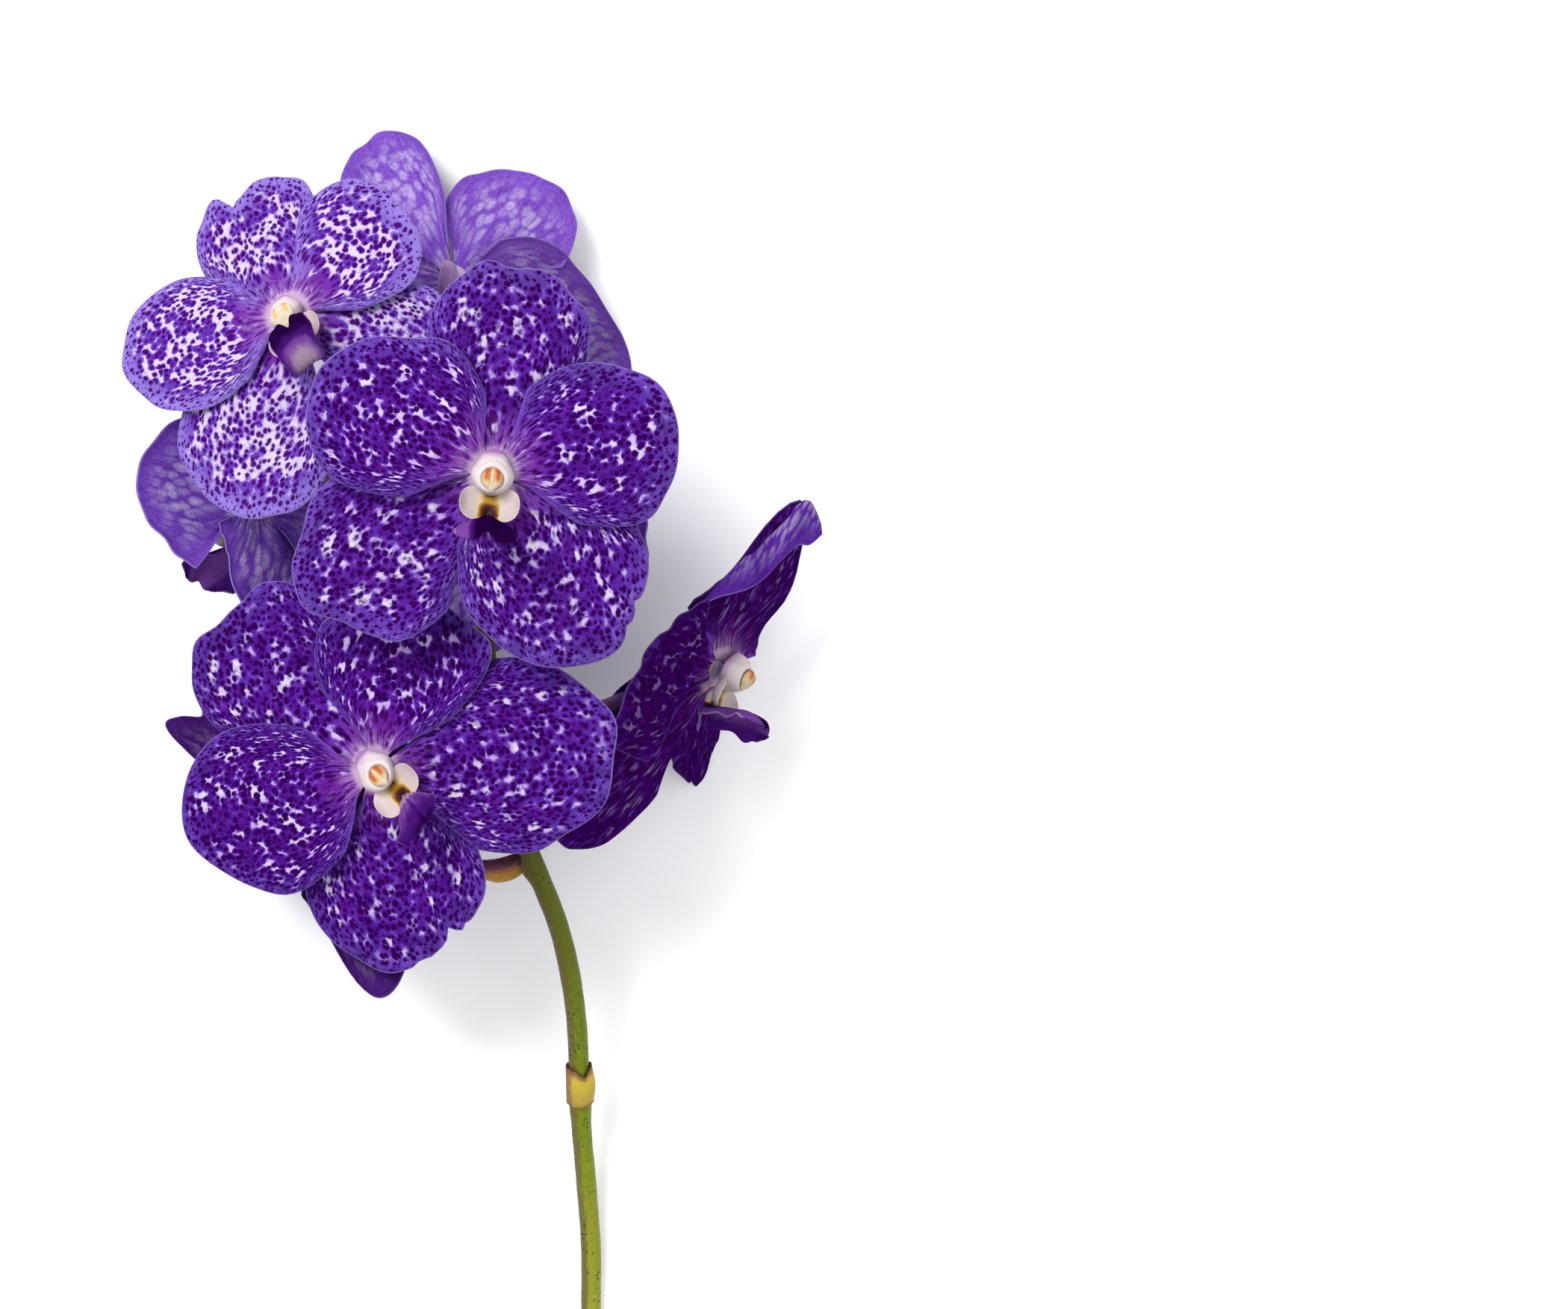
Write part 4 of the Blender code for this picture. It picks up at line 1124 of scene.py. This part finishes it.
def addMidlobe(name, bloom, material):
    form = lobeKinds[bloom.get("lobe", "arched")]
    along, across = bladeGrid(form["rows"], form["halfColumns"])
    aside = np.abs(across)
    path = np.array(form["path"])
    y, z, wide, deep = np.moveaxis(throughAll(path[:, 0], path[:, 1:], along), 2, 0)
    ahead = np.stack((np.gradient(y, axis=0), np.gradient(z, axis=0)), axis=2)
    aheadY, aheadZ = np.moveaxis(ahead / np.linalg.norm(ahead, axis=2, keepdims=True), 2, 0)
    bend = across * math.radians(form["bend"])
    outer = smoothStep((aside - 0.35) / 0.65)
    ends = smoothStep((along - 0.3) / 0.5)
    sideWaves, tipWaves = form["frillWaves"]
    frill = np.sin(sideWaves * along + 2.4 * np.sign(across)) * outer**2
    frill = form["frill"] * (frill + 0.8 * np.sin(tipWaves * across + 1.3) * ends * (1 - outer))
    keel = (hill(across, 0.09) + 0.8 * hill(aside - 0.3, 0.07)) * smoothStep(1 - along / 0.7)
    notch = form["notch"] * hill(across, 0.2) * smoothStep((along - 0.8) / 0.2)
    notch = notch + form["corner"] * aside**3 * smoothStep((along - 0.45) / 0.55)
    lift = frill + form["keel"] * keel - deep * (1 - np.cos(bend))
    local = np.stack(
        (
            wide * np.sin(bend) * (1 + 0.16 * outer**3 * ends) + form["lean"] * along,
            y + aheadZ * lift - aheadY * notch,
            z - aheadY * lift - aheadZ * notch,
        ),
        axis=2,
    )
    world = localPoints(bloom, local)
    rim = smoothStep((np.maximum(along, aside) - 0.9) / 0.1)
    solid, faces = sheetSolid(world, bladeThickness(form, rim))
    # Shades: painted light on its left side and a little on its right edge, and paler keels, rim and
    # teeth at its base
    start, end, amount = form["pale"]
    pale = amount * smoothStep((along - start) / (end - start)) * (1 - 0.75 * across**2)
    lit = form["lit"] * smoothStep((-across - 0.25) / 0.4) + 0.16 * smoothStep((across - 0.6) / 0.4)
    rimLight = form["rimLight"] * smoothStep((aside - 0.93) / 0.05)
    wave = np.cos(form["teeth"] * across)
    teeth = hill(along - 0.16 - 0.03 * wave, 0.07) * (0.7 + 0.3 * wave)
    top = form["tint"] * (1.2 - along**2) + lit + form["keelLight"] * keel + rimLight
    # the darker line beside the middle keel is painted shade in its groove
    top = top + form["baseLight"] * teeth - 0.15 * hill(across - 0.18, 0.06)
    if amount > 0:
        under = 0.04 + pale + 0.3 * rimLight
    else:
        under = 0.3 + 0.25 * smoothStep(1 - aside / 0.8)
    flipped = np.mean(gridNormals(world)[:, 20:30] @ bloomAxes(bloom)[1]) < 0
    shade = np.clip(np.stack((under, top) if flipped else (top, under)), 0, 1)
    bag = MeshBag()
    bag.add(solid, faces, localPlace=doubled(local, 3), shade=shade)
    bag.build(name + "_lip_midlobe", [material])


# Stem

stemForm = {  # mm
    "line": [
        (27.0, -193), (28.9, -175), (30.0, -150), (29.6, -129), (29.7, -118), (28.5, -97),
        (27.3, -80), (26.9, -65), (26.4, -50), (24.9, -37), (21.6, -22.2), (17.8, -11.7),
        (13.0, 1), (7.6, 20), (4.0, 42), (1.5, 66), (0.5, 92), (-0.5, 114), (-3.0, 133),
    ],
    "heights": [
        (-193, 0), (-128, 0), (-110, 2), (-90, 7), (-60, 19), (-30, 31), (-4, 40),
        (20, 44), (60, 46), (100, 46), (133, 43),
    ],
    "radius": 2.8,
    "rachisRadius": 2.2,
    "sides": 30,
    "rings": 260,
    "ridges": 7,
    "ridgeDepth": 0.012,
    "unevenness": ((0.012, 0.31, 0), (0.01, 0.83, 1)),  # share of the radius, waves per mm, and start
    "joint": (-73, 4.0, 0.30),  # place, length and height of the swelling at the sheath's foot
    "belowStalk": (3.4, 3.0, 1.5),  # the same for the one on the left, under the lowest stalk
    "roughness": 0.42,
    "tones": (
        (0.0, 192, 192, 84), (0.25, 150, 156, 34), (0.36, 124, 142, 8), (0.52, 104, 112, 12),
        (1.0, 100, 96, 30),
    ),
    "blush": (112, 98, 58),
    "speckle": {"perMm": 0.6, "size": 0.2, "patch": 0.2, "colour": (34, 30, 10)},
}


def stemRadii(y):
    grow = smoothStep((np.asarray(y) + 20) / 120)
    return stemForm["radius"] + (stemForm["rachisRadius"] - stemForm["radius"]) * grow


def stemPath(count=40):
    x, y = evenly(stemForm["line"], count).T
    heights = np.array(stemForm["heights"], float)
    flat = math.cos(math.pi / 10)  # as the solid's ten sides lie on the table
    rise = np.maximum(through(heights[:, 0], heights[:, 1], y), 0.0)
    return np.stack((x, y, rise + stemRadii(y) * flat), axis=1)


def stemPoint(y):  # the middle of the stem there, and its direction
    path = stemPath()
    path = path[np.argsort(path[:, 1])]
    centre, ahead = (
        np.array([np.interp(at, path[:, 1], path[:, k]) for k in range(3)]) for at in (y, y + 1)
    )
    return centre, unit(ahead - centre)


def addStem(material):
    form = stemForm
    path = stemPath(form["rings"])
    y = path[:, 1]
    uneven = sum(share * np.sin(y * waves + start) for share, waves, start in form["unevenness"])
    radii = stemRadii(y) * (1 + uneven)
    at, long, high = form["joint"]
    radii = radii + high * hill(y - at, long)
    rings = tubeRings(path, radii, form["sides"], form["ridges"], form["ridgeDepth"])
    left = (rings[..., 0] - path[:, None, 0]) / radii[:, None]
    below, long, high = form["belowStalk"]
    swelling = hill(y - blooms["lower"]["carriedAt"] + below, long)
    rings[..., 0] -= high * swelling[:, None] * smoothStep(-left)
    along = (y - y[0]) / (y[-1] - y[0])
    bag = MeshBag()
    # a browner left side, partly the stem's own colour and partly painted shading
    bag.addRings(rings, along[:, None], blush=smoothStep((0.3 - left) / 1.1))
    bag.build("stem", [material], "flowerStem")


bractForm = {  # mm
    "below": 4.4,  # under the lowest stalk
    "start": 4.4,
    "length": 11.5,
    "wide": 2.9,
    "thickness": 0.55,
    "sag": 2.4,
    "cupping": 0.9,
    "tear": 0.2,
    "points": (-1.0, -0.15, -0.1),
    "rows": 24,
    "halfColumns": 10,
    "roughness": 0.6,
    "tones": ((0.0, 128, 60, 44), (0.45, 170, 104, 52), (0.7, 208, 150, 66), (1.0, 226, 184, 92)),
}


def addBract(material):
    form = bractForm
    centre, _ = stemPoint(blooms["lower"]["carriedAt"] - form["below"])
    along, across = bladeGrid(form["rows"], form["halfColumns"])
    wide = form["wide"] * (0.45 + 0.75 * np.sin(math.pi * along**0.8))
    wide = wide + form["tear"] * np.sin(13 * along) * along
    points = (
        centre
        + (form["start"] + form["length"] * along)[..., None] * unit(form["points"])
        + (wide * across)[..., None] * unit((0.0, 0.8, 0.6))
        + (form["cupping"] * across**2 - form["sag"])[..., None] * unit((0.0, -0.6, 0.8))
    )
    solid, faces = sheetSolid(points, np.full(across.shape, form["thickness"]))
    bag = MeshBag()
    bag.add(solid, faces, localPlace=solid, shade=doubled(0.5 - 0.5 * across))
    bag.build("stem", [material], "dryBract")


sheathForm = {  # mm
    "at": -67.5,
    "length": 11.7,
    "wall": 0.7,
    "bulge": 0.35,
    "notch": 2.2,  # in its upper edge, with its place and width in radians round the stem
    "notchAt": 1.15,
    "notchWidth": 0.42,
    "ribs": (0.05, 14),  # height and count
    "sides": 64,
    "steps": 22,
    "roughness": 0.6,
    "specular": 0.3,
    "tones": (
        (0.0, 158, 124, 60), (0.15, 196, 168, 56), (0.76, 214, 186, 56), (0.93, 150, 98, 60),
        (1.0, 84, 46, 32),
    ),
    "blush": (140, 88, 60),
}


def addSheath(material):
    form = sheathForm
    centre, ahead = stemPoint(form["at"])
    side = unit(np.cross(ahead, (0, 0, 1)))
    up = np.cross(side, ahead)
    angles = turnsRound(form["sides"])
    inner = stemForm["radius"] + seatGap
    bulge = form["bulge"] * (1 + np.cos(angles))
    low = -form["length"] / 2 + 0.25 * np.sin(3 * angles)
    high = form["length"] / 2 - 0.2 + 0.15 * np.sin(11 * angles)
    high = high - form["notch"] * hill(angles - form["notchAt"], form["notchWidth"])
    ribHeight, ribs = form["ribs"]
    shades = np.concatenate((np.linspace(0, 1, form["steps"]), (1.0, 0.66, 0.33, 0.0)))
    rings = []
    for k, t in enumerate(shades):
        if k < form["steps"]:  # up the outside
            radius = inner + form["wall"] * (1 - 0.25 * t) + bulge * math.sin(math.pi * t) ** 1.5
            radius = radius + ribHeight * np.sin(ribs * angles)
        else:  # and down the inside
            radius = inner + 0.25 * (t == 1.0) + 0 * angles
        ring = centre + (low + (high - low) * t)[:, None] * ahead
        ring = ring + np.outer(np.cos(angles) * radius, side) + np.outer(np.sin(angles) * radius, up)
        rings.append(ring)
    faces = gridFaces(len(rings), form["sides"], around=True, looped=True)
    shade = np.repeat(shades, form["sides"])
    # a browner side, partly the sheath's own colour and partly painted shading
    blush = np.tile(smoothStep((-np.cos(angles) - 0.1) / 0.9), len(rings))
    bag = MeshBag()
    bag.add(rings, faces, localPlace=np.array(rings), shade=shade, blush=blush)
    bag.build("sheath", [material], "jointSheath")


def addBlooms():
    tepalLook = tepalMaterial()
    stalkLook = skinMaterial("stalkSkin", stalkForm)
    columnLook = skinMaterial("columnSkin", columnForm)
    capLook = skinMaterial("antherCapSkin", capForm)
    lipLook = skinMaterial("lipBaseSkin", lipBaseForm)
    midlobeLook = skinMaterial("midlobeSkin", lobeSkin)
    for number, (name, bloom) in enumerate(blooms.items()):
        bag = MeshBag()
        for index, shape in enumerate(bloom["tepals"]):
            addTepal(bag, bloom, shape, 1.0 + number * 5 + index)
        if name == foldForm["bloom"]:
            addFold(bag, bloom)
        addStalk(bag, bloom)
        bag.build(name + "_tepals", [tepalLook, stalkLook])
        addColumn(name, bloom, columnLook)
        addAntherCap(name, bloom, capLook)
        addLipBase(name, bloom, lipLook)
        addMidlobe(name, bloom, midlobeLook)
        print("bloom", name)


addCamera()
addStudio()
print("studio ready")
addStem(skinMaterial("stemSkin", stemForm))
addBract(skinMaterial("bractSkin", bractForm))
addSheath(skinMaterial("sheathPaper", sheathForm))
print("stem ready")
addBlooms()
